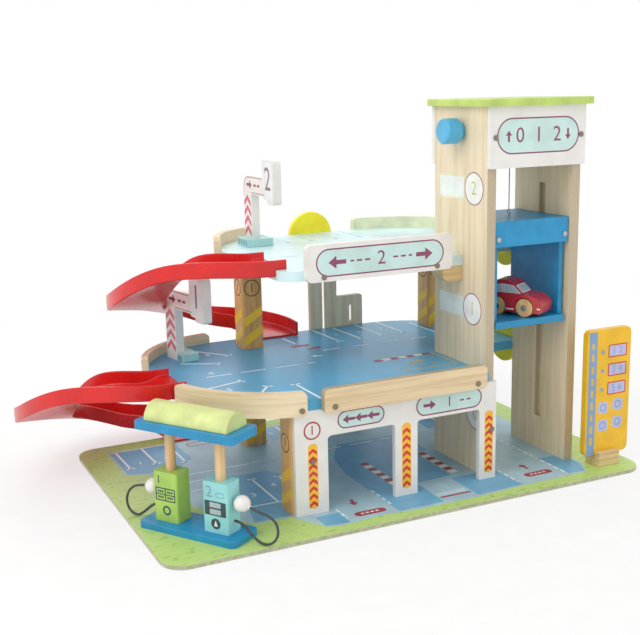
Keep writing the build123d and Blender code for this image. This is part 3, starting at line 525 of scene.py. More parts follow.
class Paint:
    """Paint of one colour on one face: thin closed shapes, in millimetres on that face."""

    def __init__(self, face, lift):
        self.face = face
        self.lift = lift
        self.work = bmesh.new()

    def fill(self, *outlines):
        for outline in outlines:
            self.band(outline, None)

    def ring(self, u, v, outer, inner):
        self.band(circle(u, v, outer), circle(u, v, inner))

    def frame(self, u0, u1, v0, v1, r, width, inner_r):
        """A frame with round corners."""
        inner = rounded(u0 + width, u1 - width, v0 + width, v1 - width, inner_r)
        self.band(rounded(u0, u1, v0, v1, r), inner)

    def band(self, outer, inner):
        """The area between two outlines with as many points each, or all of one outline."""
        rings = []
        for height in (0.0, self.lift):
            for outline in (outer, inner):
                if outline is not None:
                    places = [self.face.at(u, v, height) for u, v in outline]
                    rings.append([self.work.verts.new(place) for place in places])
        if inner is None:
            low, high = rings
            self.work.faces.new(high)
            self.work.faces.new(list(reversed(low)))
            self.wall(low, high)
            return
        low_out, low_in, high_out, high_in = rings
        self.wall(low_out, high_out)
        self.wall(high_in, low_in)
        self.wall(high_out, high_in)
        self.wall(low_in, low_out)

    def wall(self, low, high):
        """Faces between two rings of vertices."""
        count = len(low)
        for i in range(count):
            j = (i + 1) % count
            self.work.faces.new((low[i], low[j], high[j], high[i]))

    def digits(self, text, u, v, height):
        """Plain numbers, centred on a point. The height is that of a digit."""
        curve = bpy.data.curves.new("digits", "FONT")
        curve.body = text
        curve.size = height / DIGIT_SHARE * MM
        curve.extrude = self.lift / 2 * MM
        curve.align_x = "CENTER"
        curve.align_y = "CENTER"
        curve.resolution_u = 3
        holder = bpy.data.objects.new("digits", curve)
        mesh = bpy.data.meshes.new_from_object(holder)
        turn = Matrix((self.face.right, self.face.up, self.face.out)).transposed().to_4x4()
        mesh.transform(Matrix.Translation(self.face.at(u, v, self.lift / 2)) @ turn)
        self.work.from_mesh(mesh)
        bpy.data.objects.remove(holder)
        bpy.data.curves.remove(curve)
        bpy.data.meshes.remove(mesh)

    def done(self, name, ink):
        new_piece(name, finished(self.work, name), self.face.body, mat[ink])


def printed(face, lift, name, ink, *outlines):
    """One colour of print with plain outlines."""
    paint = Paint(face, lift)
    paint.fill(*outlines)
    paint.done(name, ink)


def rect(u0, u1, v0, v1):
    return [(u0, v0), (u1, v0), (u1, v1), (u0, v1)]


def rounded(u0, u1, v0, v1, r, steps=8):
    """A rectangle with round corners."""
    corners = ((u1 - r, v1 - r), (u0 + r, v1 - r), (u0 + r, v0 + r), (u1 - r, v0 + r))
    points = []
    for quarter, (u, v) in enumerate(corners):
        points += arc(u, v, r, 90 * quarter, 90 * quarter + 90, steps)
    return points


def circle(u, v, r, steps=40):
    return [(u + r * cos(2 * pi * k / steps), v + r * sin(2 * pi * k / steps)) for k in range(steps)]


def bar(u0, v0, u1, v1, width):
    """A straight line of some width from one point to another."""
    run = Vector((u1 - u0, v1 - v0)).normalized() * (width / 2)
    a, b = run.y, run.x
    return [(u0 - a, v0 + b), (u0 + a, v0 - b), (u1 + a, v1 - b), (u1 - a, v1 + b)]


def stroke(points, width):
    """Bars from point to point."""
    return [bar(*a, *b, width) for a, b in zip(points, points[1:])]


def arc(u, v, r, start, end, steps=10):
    """Points round a centre, from one angle in degrees to another."""
    angles = [radians(start + (end - start) * k / steps) for k in range(steps + 1)]
    return [(u + r * cos(a), v + r * sin(a)) for a in angles]


def turned(outline, angle, u, v):
    """An outline about zero, turned by an angle in degrees and moved."""
    c, s = cos(radians(angle)), sin(radians(angle))
    return [(u + c * a - s * b, v + s * a + c * b) for a, b in outline]


# An arrow that points to the right, 18 mm long.
ARROW = [(-9, -2), (1, -2), (1, -6), (9, 0), (1, 6), (1, 2), (-9, 2)]


def scaled_arrow(size, angle, u, v):
    return turned([(a * size, b * size) for a, b in ARROW], angle, u, v)


def dashes(u0, v0, u1, v1, length, gap, width):
    """Bars along a line."""
    way = Vector((u1 - u0, v1 - v0))
    step = way.normalized()
    made = []
    done = 0.0
    while done < way.length - 1:
        end = min(done + length, way.length)
        a = Vector((u0, v0)) + step * done
        b = Vector((u0, v0)) + step * end
        made.append(bar(a.x, a.y, b.x, b.y, width))
        done += length + gap
    return made


def tube(name, body, points, radius, sides, material, slot):
    """A round tube along points, in millimetres."""
    work = bmesh.new()
    path = [Vector(p) * MM for p in points]
    rings = []
    side = None
    for i, here in enumerate(path):
        ahead, behind = path[min(i + 1, len(path) - 1)], path[max(i - 1, 0)]
        along = (ahead - behind).normalized()
        side = along.orthogonal() if side is None else side - along * side.dot(along)
        side.normalize()
        over = along.cross(side)
        turns = [2 * pi * k / sides for k in range(sides)]
        places = [here + (side * cos(a) + over * sin(a)) * (radius * MM) for a in turns]
        rings.append([work.verts.new(place) for place in places])
    loft(work, rings)
    mesh = finished(work, name)
    mesh.shade_smooth()
    return new_piece(name, mesh, body, material)


# ---- hoses

# The pump station's middle and turn. A hose's points are along its front, and up.
STATION = Vector((-261.8, -129.3, 0))
STATION_TURN = radians(-56.2)
STATION_RIGHT = Vector((cos(STATION_TURN), sin(STATION_TURN), 0))
STATION_BACK = Vector((-sin(STATION_TURN), cos(STATION_TURN), 0))

HOSE_RADIUS = 1.5
HOSE_1 = (
    (-52.0, 27.0), (-60.0, 27.0), (-68.5, 21.5), (-77.5, 13.5), (-88.0, 6.1), (-100.0, 9.0),
    (-105.5, 20.0), (-102.5, 33.0), (-93.5, 42.0), (-82.0, 45.5), (-73.5, 46.5),
)
HOSE_2 = (
    (52.0, 27.0), (60.0, 27.0), (68.5, 20.5), (78.0, 11.5), (90.0, 6.0), (102.5, 10.0),
    (110.0, 21.0), (108.5, 34.5), (98.0, 41.5), (85.0, 43.0), (73.5, 46.3),
)


def make_hose(number, route, material):
    """A smooth hose through the route's control points, from the pump to the ball nozzle."""
    points = [(STATION + STATION_RIGHT * u + UP * z) * MM for u, z in route]
    curve = bpy.data.curves.new(f"hose_{number}_line", "CURVE")
    curve.dimensions = "3D"
    curve.bevel_depth = HOSE_RADIUS * MM
    curve.bevel_resolution = 4
    curve.use_fill_caps = True
    spline = curve.splines.new("NURBS")
    spline.points.add(len(points) - 1)
    for control, point in zip(spline.points, points):
        control.co = (*point, 1.0)
    spline.order_u = 3
    spline.use_endpoint_u = True
    spline.resolution_u = 10
    hose = bpy.data.objects.new(f"look_hose_{number}", curve)
    bpy.context.scene.collection.objects.link(hose)
    curve.materials.append(material)
    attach(hose, "pump_station")
    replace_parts(hose, f"hose_{number}")


# ---- ramps

RAMP_WIDTH, RAMP_WALL, RAMP_HEIGHT = 73.0, 3.0, 20.0
RAMP_LEAD, RAMP_RADIUS, RAMP_STRAIGHT, RAMP_END_RADIUS = 3.0, 123.0, 36.0, 58.0
RAMP_HOOK_DEPTH, RAMP_HOOK_LENGTH, RAMP_BLEND, RAMP_FOOT_GAP = 8.0, 14.0, 40.0, 0.2
RAMP_FALL = (0.0, 0.02, 0.40, 0.61, 0.85, 1.0)
RAMP_UPPER_Y, RAMP_LOWER_Y = -30.0, -6.0
RAMP_STEPS = 96
RAMP_SHARP_ANGLE = 50
RAMP_FOOT_ROUND, RAMP_RIM_ROUND, RAMP_FLOOR_ROUND = 2.2, 1.3, 2.5
RAMP_LENGTH = RAMP_LEAD + pi * RAMP_RADIUS + RAMP_STRAIGHT + pi / 2 * RAMP_END_RADIUS


def ramp_point(s):
    """Place and heading of the ramp's middle line, s millimetres after the deck's edge."""
    bend = s - RAMP_LEAD
    straight = bend - pi * RAMP_RADIUS
    end_bend = straight - RAMP_STRAIGHT
    if bend <= 0:
        return (-s, 0.0), (-1.0, 0.0)
    if straight <= 0:
        a = -pi / 2 - bend / RAMP_RADIUS
        place = (-RAMP_LEAD + RAMP_RADIUS * cos(a), RAMP_RADIUS + RAMP_RADIUS * sin(a))
        return place, (sin(a), -cos(a))
    if end_bend <= 0:
        return (-RAMP_LEAD + straight, 2 * RAMP_RADIUS), (1.0, 0.0)
    a = pi / 2 - end_bend / RAMP_END_RADIUS
    x = -RAMP_LEAD + RAMP_STRAIGHT + RAMP_END_RADIUS * cos(a)
    y = 2 * RAMP_RADIUS - RAMP_END_RADIUS + RAMP_END_RADIUS * sin(a)
    return (x, y), (sin(a), -cos(a))


def ramp_share(t):
    """Share of the fall at a share of the way: a smooth curve through the listed ones."""
    n = len(RAMP_FALL) - 1
    i = min(int(t * n), n - 1)
    f = t * n - i
    p0, p1, p2 = RAMP_FALL[max(i - 1, 0)], RAMP_FALL[i], RAMP_FALL[i + 1]
    p3 = RAMP_FALL[i + 2] if i + 2 <= n else 2 * p2 - p1
    start = (2 * f**3 - 3 * f**2 + 1) * p1 + (f**3 - 2 * f**2 + f) * (p2 - p0) / 2
    return start + (3 * f**2 - 2 * f**3) * p2 + (f**3 - f**2) * (p3 - p1) / 2


def softened(points, radii, steps=4):
    """A closed outline with round corners: each corner is a small curve of its own radius."""
    made = []
    count = len(points)
    for i, (point, r) in enumerate(zip(points, radii)):
        here = Vector(point)
        to_last = (Vector(points[i - 1]) - here).normalized() * r
        to_next = (Vector(points[(i + 1) % count]) - here).normalized() * r
        for k in range(steps + 1):
            t = k / steps
            made.append(here + to_last * (1 - t) ** 2 + to_next * t**2)
    return made


def channel(height, floor):
    """The ramp's section with moulded edges. Its underside is at zero."""
    w = RAMP_WIDTH / 2
    inner = w - RAMP_WALL
    points = [
        (-w, 0), (w, 0), (w, height), (inner, height),
        (inner, floor), (-inner, floor), (-inner, height), (-w, height),
    ]
    foot, rim, low = RAMP_FOOT_ROUND, RAMP_RIM_ROUND, RAMP_FLOOR_ROUND
    return softened(points, (foot, foot, rim, rim, low, low, rim, rim))


def add_channel(work, sections):
    """A closed skin through sections in millimetres."""
    loft(work, [[work.verts.new(p * MM) for p in section] for section in sections])


def make_ramp(node, deck_left, y, deck_top, material):
    """The curved channel down to the level below, and its tongue on the deck."""
    work = bmesh.new()
    fall = DECK_2_TOP - DECK_1_TOP - RAMP_HOOK_DEPTH - RAMP_FOOT_GAP
    sections = []
    for k in range(RAMP_STEPS + 1):
        s = RAMP_LENGTH * k / RAMP_STEPS
        (px, py), (hx, hy) = ramp_point(s)
        z = deck_top - RAMP_HOOK_DEPTH - fall * ramp_share(s / RAMP_LENGTH)
        floor = RAMP_WALL + RAMP_HOOK_DEPTH * max(0.0, 1 - s / RAMP_BLEND) ** 2
        origin = Vector((deck_left + px, y + py, z))
        across = Vector((-hy, hx, 0))
        sections.append([origin + across * a + UP * b for a, b in channel(RAMP_HEIGHT, floor)])
    add_channel(work, sections)
    tongue = channel(RAMP_HEIGHT - RAMP_HOOK_DEPTH, RAMP_WALL)
    ends = []
    for reach in (RAMP_HOOK_LENGTH, 0.0):
        origin = Vector((deck_left + reach, y, deck_top))
        ends.append([origin + Vector((0, -a, 0)) + UP * b for a, b in tongue])
    add_channel(work, ends)
    mesh = finished(work, node + "_shape")
    mesh.shade_smooth()
    mesh.set_sharp_from_angle(angle=radians(RAMP_SHARP_ANGLE))
    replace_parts(new_piece("look_" + node, mesh, "garage", material), node)


# ---- everything, piece by piece

make_camera()
make_studio()

# Name, grain, light and dark tone, seed, and the axis that its plies are stacked along.
WOODS = {
    "ply_x": ("birch_ply_upright", "Z", "ead8b8", "dfc9a4", 1.0, "X"),
    "ply_y": ("birch_ply_front", "X", "e2cba4", "d3b78c", 2.0, "Y"),
    "ply_rear": ("birch_ply_rear", "Z", "ecdcc0", "dcc6a2", 8.0, "Y"),
    "bent": ("bent_birch", "level", "ead6b4", "dcc298", 3.0),
    "post": ("post_wood", "Z", "dba766", "c08a4a", 4.0),
    "block": ("block_wood", "X", "dcc08e", "c49f6a", 5.0),
    "dowel": ("dowel_wood", "Z", "e3c08e", "cda06a", 6.0),
    "wheel": ("wheel_wood", "Z", "dcb87f", "c29557", 7.0),
    "shaft": ("spindle_wood", "X", "dcc190", "c6a26b", 9.0),
}

# Name, colour, roughness, clear coat, and how uneven the tone is.
PAINTS = {
    "white": ("white_paint", WHITE, 0.4, 0.15, 0.015),
    "lime": ("lime_paint", "bad268", 0.4),
    "knob": ("sky_paint", "4cabd6", 0.35, 0.3),
    "cab": ("cab_paint", CAB_BLUE, 0.42, 0.1),
    "yellow": ("yellow_paint", "ffeb2c", 0.38),
    "pale_green": ("pale_green_paint", "e2e6c4"),
    "price": ("price_paint", "ecb90c", 0.38, 0.2, 0.03),
    "pump_1": ("pump_green_paint", "a3c65a", 0.4),
    "pump_2": ("pump_aqua_paint", "93d3d4", 0.4),
    "island": ("island_paint", CAB_BLUE, 0.42, 0.1),
    "canopy": ("canopy_paint", "d3de92", 0.4),
    "ball": ("nozzle_paint", "ece8e6", 0.32, 0.3, 0.01),
    "car": ("car_red_paint", "b5242b", 0.25, 0.6, 0.05),
    "sign_base": ("sign_base_paint", "a6d6d4", 0.4),
}

# Printed colours, by their roughness.
INKS = {
    0.3: {"glass": "a9b7bd"},
    0.4: {"dark": "33474a"},
    0.42: {
        "plum": "8c4468", "aqua": "c7e2de", "chevron_red": "d2371f", "chevron_yellow": "fbbc35",
        "pink": "cf5c74", "lavender": "b9b8da", "slate": "7f9fc4", "white_ink": WHITE,
        "hazard_yellow": "f2c12c", "faint": "b5dde2", "amber": "d9b24a", "band": "e9eee8",
        "field": "e6efee", "sign_grey": "8d7078", "digit_green": "c9cf86", "paper": "f3f2ec",
    },
    0.45: {
        "bay": "70aecf", "line": "eef8fb", "kerb_red": "a83340", "kerb_white": "f1f1ea",
        "post_ink": "5f4420",
    },
    0.5: {"road": "abc9d4"},
}

mat = {
    "grass": grass_print(),
    "deck_blue": deck_print("deck_blue", "50abd6", 1.0),
    "deck_pale": deck_print("deck_pale", "d4eff2", 6.0),
    "ramp": moulded("ramp_red", "d41614"),
    "screw": metal("screw_steel", "9a8d7d", 0.34),
    "axle": metal("axle_steel", "c9c9cb", 0.22),
    "hose": rubber("hose_rubber", "3f4547"),
    "twine": twisted_fibre("lift_cord_fibre", "5a5450"),
}
mat.update({key: natural(*facts) for key, facts in WOODS.items()})
mat.update({key: painted(*facts) for key, facts in PAINTS.items()})
for roughness, colours in INKS.items():
    for key, colour in colours.items():
        mat[key] = painted("ink_" + key, colour, roughness, 0.1, 0.03)

nozzle_1 = dressed("nozzle_1", mat["ball"], 0)
nozzle_2 = dressed("nozzle_2", mat["ball"], 0)
make_hose(1, HOSE_1, mat["hose"])
make_hose(2, HOSE_2, mat["hose"])

# Material, how far the edges are eased in millimetres, in how many steps, and the CAD nodes.
FINISHES = (
    # board, decks and what stands on them
    ("grass", 0.5, 2, "base_board"),
    ("deck_blue", 0.8, 2, "deck_1"),
    ("deck_pale", 0.8, 2, "deck_2"),
    ("white", 0.7, 2, "facade"),
    ("ply_y", 1.0, 3, "rail_deck_1_front"),
    ("bent", 1.0, 3, "rail_deck_1_front_left", "rail_deck_1_rear_left", "rail_deck_2_rear_left"),
    ("pale_green", 1.0, 3, "rail_deck_2_rear_right"),
    ("white", 1.0, 3, "name_board"),
    ("block", 0.8, 2, "deck_2_support_block"),
    ("post", 0.6, 2, "post_ground_front_left", "post_ground_back_left", "post_ground_back_right"),
    ("post", 0.6, 2, "post_deck_1_back_left", "post_deck_1_back_right"),
    ("ply_rear", 0.7, 2, "rear_panel"),
    ("yellow", 0, 0, "guard_disc_right_1", "guard_disc_right_2", "guard_disc_rear"),
    ("white", 0.8, 2, "level_sign_1", "level_sign_2"),
    ("sign_base", 0.8, 2, "sign_base_1", "sign_base_2"),
    ("screw", 0.4, 2, "panel_screws"),
    # tower
    ("ply_x", 0.6, 2, "tower_panel_left", "tower_panel_right"),
    ("white", 0.7, 2, "tower_header_front", "tower_header_back"),
    ("lime", 0, 0, "tower_roof"),
    ("knob", 0, 0, "lift_knob"),
    ("shaft", 0, 0, "lift_spindle"),
    ("block", 0.4, 2, "spindle_collar"),
    # cab and car
    ("cab", 0.5, 2, "cab_floor", "cab_wall_left", "cab_wall_right", "cab_header", "cab_roof"),
    ("block", 0.4, 2, "cab_runner_left", "cab_runner_right"),
    ("axle", 0.3, 2, "cab_screws"),
    ("axle", 0, 0, "cab_screw_eye"),
    ("car", 2.2, 5, "car_body"),
    ("axle", 0.3, 2, "car_axle_front", "car_axle_rear"),
    ("wheel", 0.7, 3, "car_wheels_front", "car_wheels_rear"),
    # pump station and price sign
    ("island", 0, 0, "pump_island"),
    ("pump_1", 0.8, 2, "pump_1"),
    ("pump_2", 0.8, 2, "pump_2"),
    ("dowel", 0, 0, "canopy_dowels"),
    ("island", 0.9, 3, "canopy_plate"),
    ("canopy", 0.7, 2, "canopy_roof"),
    ("price", 1.0, 3, "price_board"),
    ("block", 0.8, 2, "price_sign_block"),
)
for key, edge, steps, *nodes in FINISHES:
    for node in nodes:
        dressed(node, mat[key], edge, steps)

make_ramp("ramp_upper", DECK_2_LEFT, RAMP_UPPER_Y, DECK_2_TOP, mat["ramp"])
make_ramp("ramp_lower", DECK_1_LEFT, RAMP_LOWER_Y, DECK_1_TOP, mat["ramp"])


CORD_X, CORD_Y, CORD_RADIUS = 189.5, -89.7, 0.6
CORD_TOP, CORD_LOW = high_side("lift_cord", 2), low_side("lift_cord", 2)
CORD_LENGTHS, CORD_SIDES, CORD_END = 24, 10, 1.0
SPINDLE_Y, SPINDLE_RADIUS = -83.0, 6.0
CORD_TURNS, CORD_TURN_STEPS, CORD_TURN_SIDES = 6, 20, 8
CORD_SEAT_GAP, CORD_PITCH = 0.1, 2.2 * CORD_RADIUS


def make_lift_cord():
    """It stretches between the spindle and the cab, and its turns lie on the spindle."""
    drop = (CORD_LOW - CORD_TOP) / CORD_LENGTHS
    points = [(CORD_X, CORD_Y, CORD_TOP + drop * k) for k in range(CORD_LENGTHS + 1)]
    look = (mat["twine"], "lift_cord_fibre")
    cord = tube("look_lift_cord", "garage", points, CORD_RADIUS, CORD_SIDES, *look)
    cord.parent = None  # it is left on no body, as it runs between two
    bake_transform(cord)
    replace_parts(cord, "lift_cord")
    reach = SPINDLE_RADIUS + CORD_RADIUS + CORD_SEAT_GAP
    coil = []
    for k in range(CORD_TURNS * CORD_TURN_STEPS + 1):
        turn = k / CORD_TURN_STEPS
        a = pi + 2 * pi * turn
        coil.append((CORD_X + CORD_PITCH * turn, SPINDLE_Y + reach * cos(a), CORD_TOP + reach * sin(a)))
    tube("cord_turns", "knob", coil, CORD_RADIUS, CORD_TURN_SIDES, *look)


make_lift_cord()


# ---- prints
# Places on a face are in millimetres. A print stands off its face by a tenth or a few of them.


def capsule_sign(face, name, u0, u1, v0, v1, marks):
    """A pale panel with a plum outline, round at both ends, and plain marks in it."""
    r = (v1 - v0) / 2 - 0.01
    printed(face, 0.10, name + "_panel", "aqua", rounded(u0, u1, v0, v1, r))
    outline = Paint(face, 0.18)
    line = min(1.7, 0.06 * (v1 - v0) + 0.3)
    outline.frame(u0, u1, v0, v1, r, line, r - line)
    marks(outline, (u0 + u1) / 2, (v0 + v1) / 2, u1 - u0, v1 - v0)
    outline.done(name + "_ink", "plum")


def road_marks(paint, u, v, width, height):
    """A number between two arrows, with lane dashes."""
    paint.digits("2", u, v, height * 0.5)
    for side in (-1, 1):
        paint.fill(scaled_arrow(height / 26, 90 - 90 * side, u + side * width * 0.34, v))
        paint.fill(*dashes(u + side * width * 0.09, v, u + side * width * 0.24, v, 7, 4, 2.2))


def exit_marks(paint, u, v, width, height):
    """Three arrows to the left."""
    for k in (-1, 0, 1):
        paint.fill(scaled_arrow(height / 24, 180, u + k * width * 0.26, v))


def service_marks(paint, u, v, width, height):
    """A number between an arrow and two dashes."""
    paint.digits("1", u, v, height * 0.5)
    paint.fill(scaled_arrow(height / 26, 0, u - width * 0.3, v))
    paint.fill(*dashes(u + width * 0.16, v, u + width * 0.36, v, 6, 3.5, 2.0))


def lift_marks(paint, u, v, width, height):
    """The floors that the lift serves."""
    paint.digits("0  1  2", u, v, height * 0.42)
    for side in (-1, 1):
        paint.fill(scaled_arrow(0.75, -90 * side, u + side * width * 0.36, v))


def chevron(u, v, width, height, rise):
    left, right = u - width / 2, u + width / 2
    low = [(left, v), (u, v + rise), (right, v)]
    return low + [(a, b + height) for a, b in reversed(low)]


def chevron_strip(face, name, u0, u1, v0, v1):
    """Red chevrons up a yellow strip."""
    width = u1 - u0
    ends = rounded(u0, u1, v0, v1, width * 0.42)
    printed(face, 0.10, name + "_strip", "chevron_yellow", ends)
    count = 8
    step = (v1 - v0 - width * 0.5) / count
    shape = (width * 0.86, step * 0.46, width * 0.34)
    starts = [v0 + width * 0.1 + step * k for k in range(count)]
    marks = [chevron((u0 + u1) / 2, v, *shape) for v in starts]
    printed(face, 0.18, name + "_chevrons", "chevron_red", *marks)


def paint_facade():
    face = front("facade")
    chevron_strip(face, "facade_left", -131.0, -118.5, 12, 92)
    chevron_strip(face, "facade_middle", -5.0, 7.6, 14, 98)
    chevron_strip(face, "facade_right", 115.0, 127.3, 13, 95)
    capsule_sign(face, "exit_sign", -92.0, -29.0, 104, 126, exit_marks)
    capsule_sign(face, "service_sign", 15.0, 110.0, 102.5, 128.0, service_marks)
    ring = Paint(face, 0.14)
    ring.ring(-125, 108, 11, 9.2)
    ring.digits("1", -125, 108, 11)
    ring.done("facade_ring", "kerb_red")


def paint_boards():
    capsule_sign(front("name_board"), "name_sign", -91.0, 86.0, 276.5, 310.5, road_marks)
    capsule_sign(front("tower_header_front"), "lift_sign", 127.5, 250.0, 413.5, 457.0, lift_marks)


def paint_tower():
    """Rings with the floors' numbers on the left panel, each with a pale band towards the back."""
    face = left_side("tower_panel_left")
    bands = Paint(face, 0.08)
    pads = Paint(face, 0.11)
    rings = Paint(face, 0.18)
    numbers = Paint(face, 0.18)
    slim = Paint(face, 0.14)
    for u, v, text in ((114.0, 371.0, "2"), (112.5, 219.0, "1"), (122.0, 83.0, "0")):
        if text != "0":
            bands.fill(rounded(35.5, 92.0, v - 13, v + 13, 2))
            for edge in (v - 14.5, v + 14.5):
                slim.fill(rect(33.0, 94.0, edge - 0.7, edge + 0.7))
        pads.fill(circle(u, v, 19.5))
        rings.ring(u, v, 20.5, 19.3)
        numbers.digits(text, u, v, 17)
    bands.done("tower_bands", "band")
    pads.done("tower_ring_pads", "paper")
    rings.done("tower_rings", "plum")
    numbers.done("tower_numbers", "digit_green")
    slim.done("tower_band_lines", "pale_green")


def stall(paint, head, foot, bar_length, width=3.0):
    """A line between two bays, with a short bar across its foot."""
    (u0, v0), (u1, v1) = head, foot
    run = Vector((u1 - u0, v1 - v0)).normalized()
    paint.fill(bar(u0, v0, u1 + run.x * width / 2, v1 + run.y * width / 2, width))
    side = Vector((-run.y, run.x)) * (bar_length / 2)
    paint.fill(bar(u1 - side.x, v1 - side.y, u1 + side.x, v1 + side.y, width))


def numbered(paint, places):
    """Bay numbers: the text and the middle of each."""
    for text, u, v in places:
        paint.digits(text, u, v, 11)


def kerb(face, name, u0, v0, u1, v1, count, width):
    """Red and white blocks in a row."""
    start, end = Vector((u0, v0)), Vector((u1, v1))
    inks = (Paint(face, 0.30), Paint(face, 0.30))
    for k in range(count):
        a = start.lerp(end, k / count)
        b = start.lerp(end, (k + 1) / count)
        inks[k % 2].fill(bar(a.x, a.y, b.x, b.y, width))
    inks[0].done(name + "_red", "kerb_red")
    inks[1].done(name + "_white", "kerb_white")


ROAD_OUTLINE = (
    (-287, 182), (-287, 84), (-244, 66), (-243, -60), (-205, -135), (-196, -143), (-153, -146),
    (-128, -190), (-111, -196), (-60, -190), (-12, -196), (84, -196), (140, -192), (246, -190),
    (262, -160), (262, -40), (284, 10), (284, 150), (250, 183),
)
GROUND_BAYS = (
    ((-284, 179), (-284, 86), (-226, 70), (-190, 104), (-190, 179)),
    ((-168, 14), (-118, 12), (-100, -16), (-100, -138), (-150, -142), (-196, -139), (-190, -110)),
    (
        (-32, -190), (-32, -50), (-20, 10), (10, 60), (110, 60), (110, -20), (104, -20), (88, -24),
        (86, -118), (32, -122), (30, -190),
    ),
    ((79, -192), (79, -128), (146, -128), (146, -189)),
    ((-128, -188), (-128, -160), (-98, -160), (-98, -192)),
    ((222, -122), (222, -186), (246, -187), (258, -160), (258, -122)),
    ((160, 60), (160, 180), (246, 180), (270, 150), (270, 60)),
    ((-100, 120), (-100, 178), (110, 178), (110, 120)),
)
GROUND_STALLS = (
    ((-276, 178), (-275, 104)), ((-239, 178), (-238, 109)), ((-201, 160), (-201, 96)),
    ((-147, -95), (-147, -8)), ((-113, -95), (-112, -14)),
    ((-70, 176), (-70, 124)), ((-34, 176), (-34, 124)), ((2, 176), (2, 124)), ((38, 176), (38, 124)),
    ((74, 176), (74, 124)), ((190, 176), (190, 66)), ((228, 176), (228, 66)),
)
GROUND_LANES = (
    (-214, 47, -60, 49), (-125, 50, 90, 50), (-229, -11, -180, -11), (-228, 20, -170, 22),
)
GROUND_CROSSINGS = (
    (-96, -150, -96, -180), (-30, -116, -30, -166), (147, -134, 147, -178), (220, -128, 220, -178),
    (147, -20, 147, -120), (220, -20, 220, -120),
)
GROUND_NUMBERS = (
    ("1", -257, 120), ("2", -220, 120), ("3", -165, -60), ("4", -130, -40), ("5", -52, 150),
    ("6", -16, 150), ("7", 20, 150), ("8", 56, 150), ("9", 209, 110),
)


def paint_ground():
    """The road with its bays, lines, kerbs and red marks."""
    face = top("base_board")
    printed(face, 0.10, "ground_road", "road", ROAD_OUTLINE)
    printed(face, 0.17, "ground_bays", "bay", *GROUND_BAYS)
    lines = Paint(face, 0.24)
    for head, foot in GROUND_STALLS:
        stall(lines, head, foot, 12)
    lines.fill(bar(-183, -94, -104, -97, 3.0), bar(-282, 178.5, -192, 178.5, 2.0))
    for way in GROUND_LANES:
        lines.fill(*dashes(*way, 36, 14, 2.4))
    for way in GROUND_CROSSINGS:
        lines.fill(*dashes(*way, 9, 5, 2.4))
    numbered(lines, GROUND_NUMBERS)
    lines.fill(rect(34, 74, -171, -169.8), rect(34, 74, -166, -165))
    lines.done("ground_lines", "line")
    kerb(face, "ground_kerb_left", 7, -24, 7, -112, 8, 11)
    kerb(face, "ground_kerb_right", 95, -26, 95, -112, 8, 11)
    marks = Paint(face, 0.30)
    marks.fill(scaled_arrow(1.0, -100, -68, -140), scaled_arrow(1.0, 95, 185, -138))
    marks.fill(rounded(-84, -43, -182, -170, 5.9), rounded(167, 208, -172, -160, 5.9))
    marks.fill(rect(33, 76, -179.5, -176))
    marks.frame(-178, -130, 153, 169, 7.9, 1.5, 6.4)
    marks.done("ground_marks", "kerb_red")
    strokes = dashes(-76, -176, -51, -176, 4, 2.5, 3.0) + dashes(175, -166, 200, -166, 4, 2.5, 3.0)
    printed(face, 0.36, "ground_mark_dashes", "kerb_white", *strokes)


DECK_1_STALLS = (
    ((30, 176), (34, 92)), ((63, 176), (68, 91)), ((101, 176), (104, 94)), ((138, 176), (140, 96)),
    ((-176, 155), (-133, 96)), ((-205, 86), (-160, 61)), ((-222, -48), (-165, -32)),
    ((-178, -112), (-146, -70)), ((-112, -149), (-113, -79)),
)
DECK_1_NUMBERS = (
    ("1", 48, 132), ("2", 84, 132), ("3", -158, 112), ("4", -186, 20), ("5", -192, -62),
    ("6", -140, -112), ("7", 122, 134), ("8", 200, 60),
)


def paint_deck_1():
    """White bays round the edge, two lanes, a kerb, and marks in amber and red."""
    face = top("deck_1")
    lines = Paint(face, 0.15)
    for head, foot in DECK_1_STALLS:
        stall(lines, head, foot, 13)
    lines.fill(*dashes(-198, 5, -46, 5, 34, 13, 2.6), *dashes(-10, 58, 156, 56, 26, 20, 2.6))
    numbered(lines, DECK_1_NUMBERS)
    lines.fill(bar(-30, 150, -27, 112, 3.0), scaled_arrow(0.9, 160, -30, 34))
    lines.fill(bar(180, 150, 180, 60, 3.0), bar(180, 20, 250, 20, 3.0))
    lines.done("deck_1_lines", "line")
    kerb(face, "deck_1_kerb", 22, -31, 107, -29, 7, 8)
    amber = [bar(24, -92, 112, -92, 2.4), bar(112, -92, 112, -24, 2.4), scaled_arrow(1.2, 0, 70, -60)]
    amber += dashes(30, -75, 104, -75, 10, 8, 2.0)
    printed(face, 0.15, "deck_1_amber", "amber", *amber)
    red = (scaled_arrow(1.3, 20, -14, 76), rounded(-40, -12, 92, 102, 4.9))
    printed(face, 0.15, "deck_1_red", "kerb_red", *red)


DECK_2_NUMBERS = (
    ("1", -41, 172), ("2", -3, 172), ("3", 35, 172), ("4", 73, 172), ("5", -41, -52), ("6", -3, -52),
)
DECK_2_RING = (180, 70)


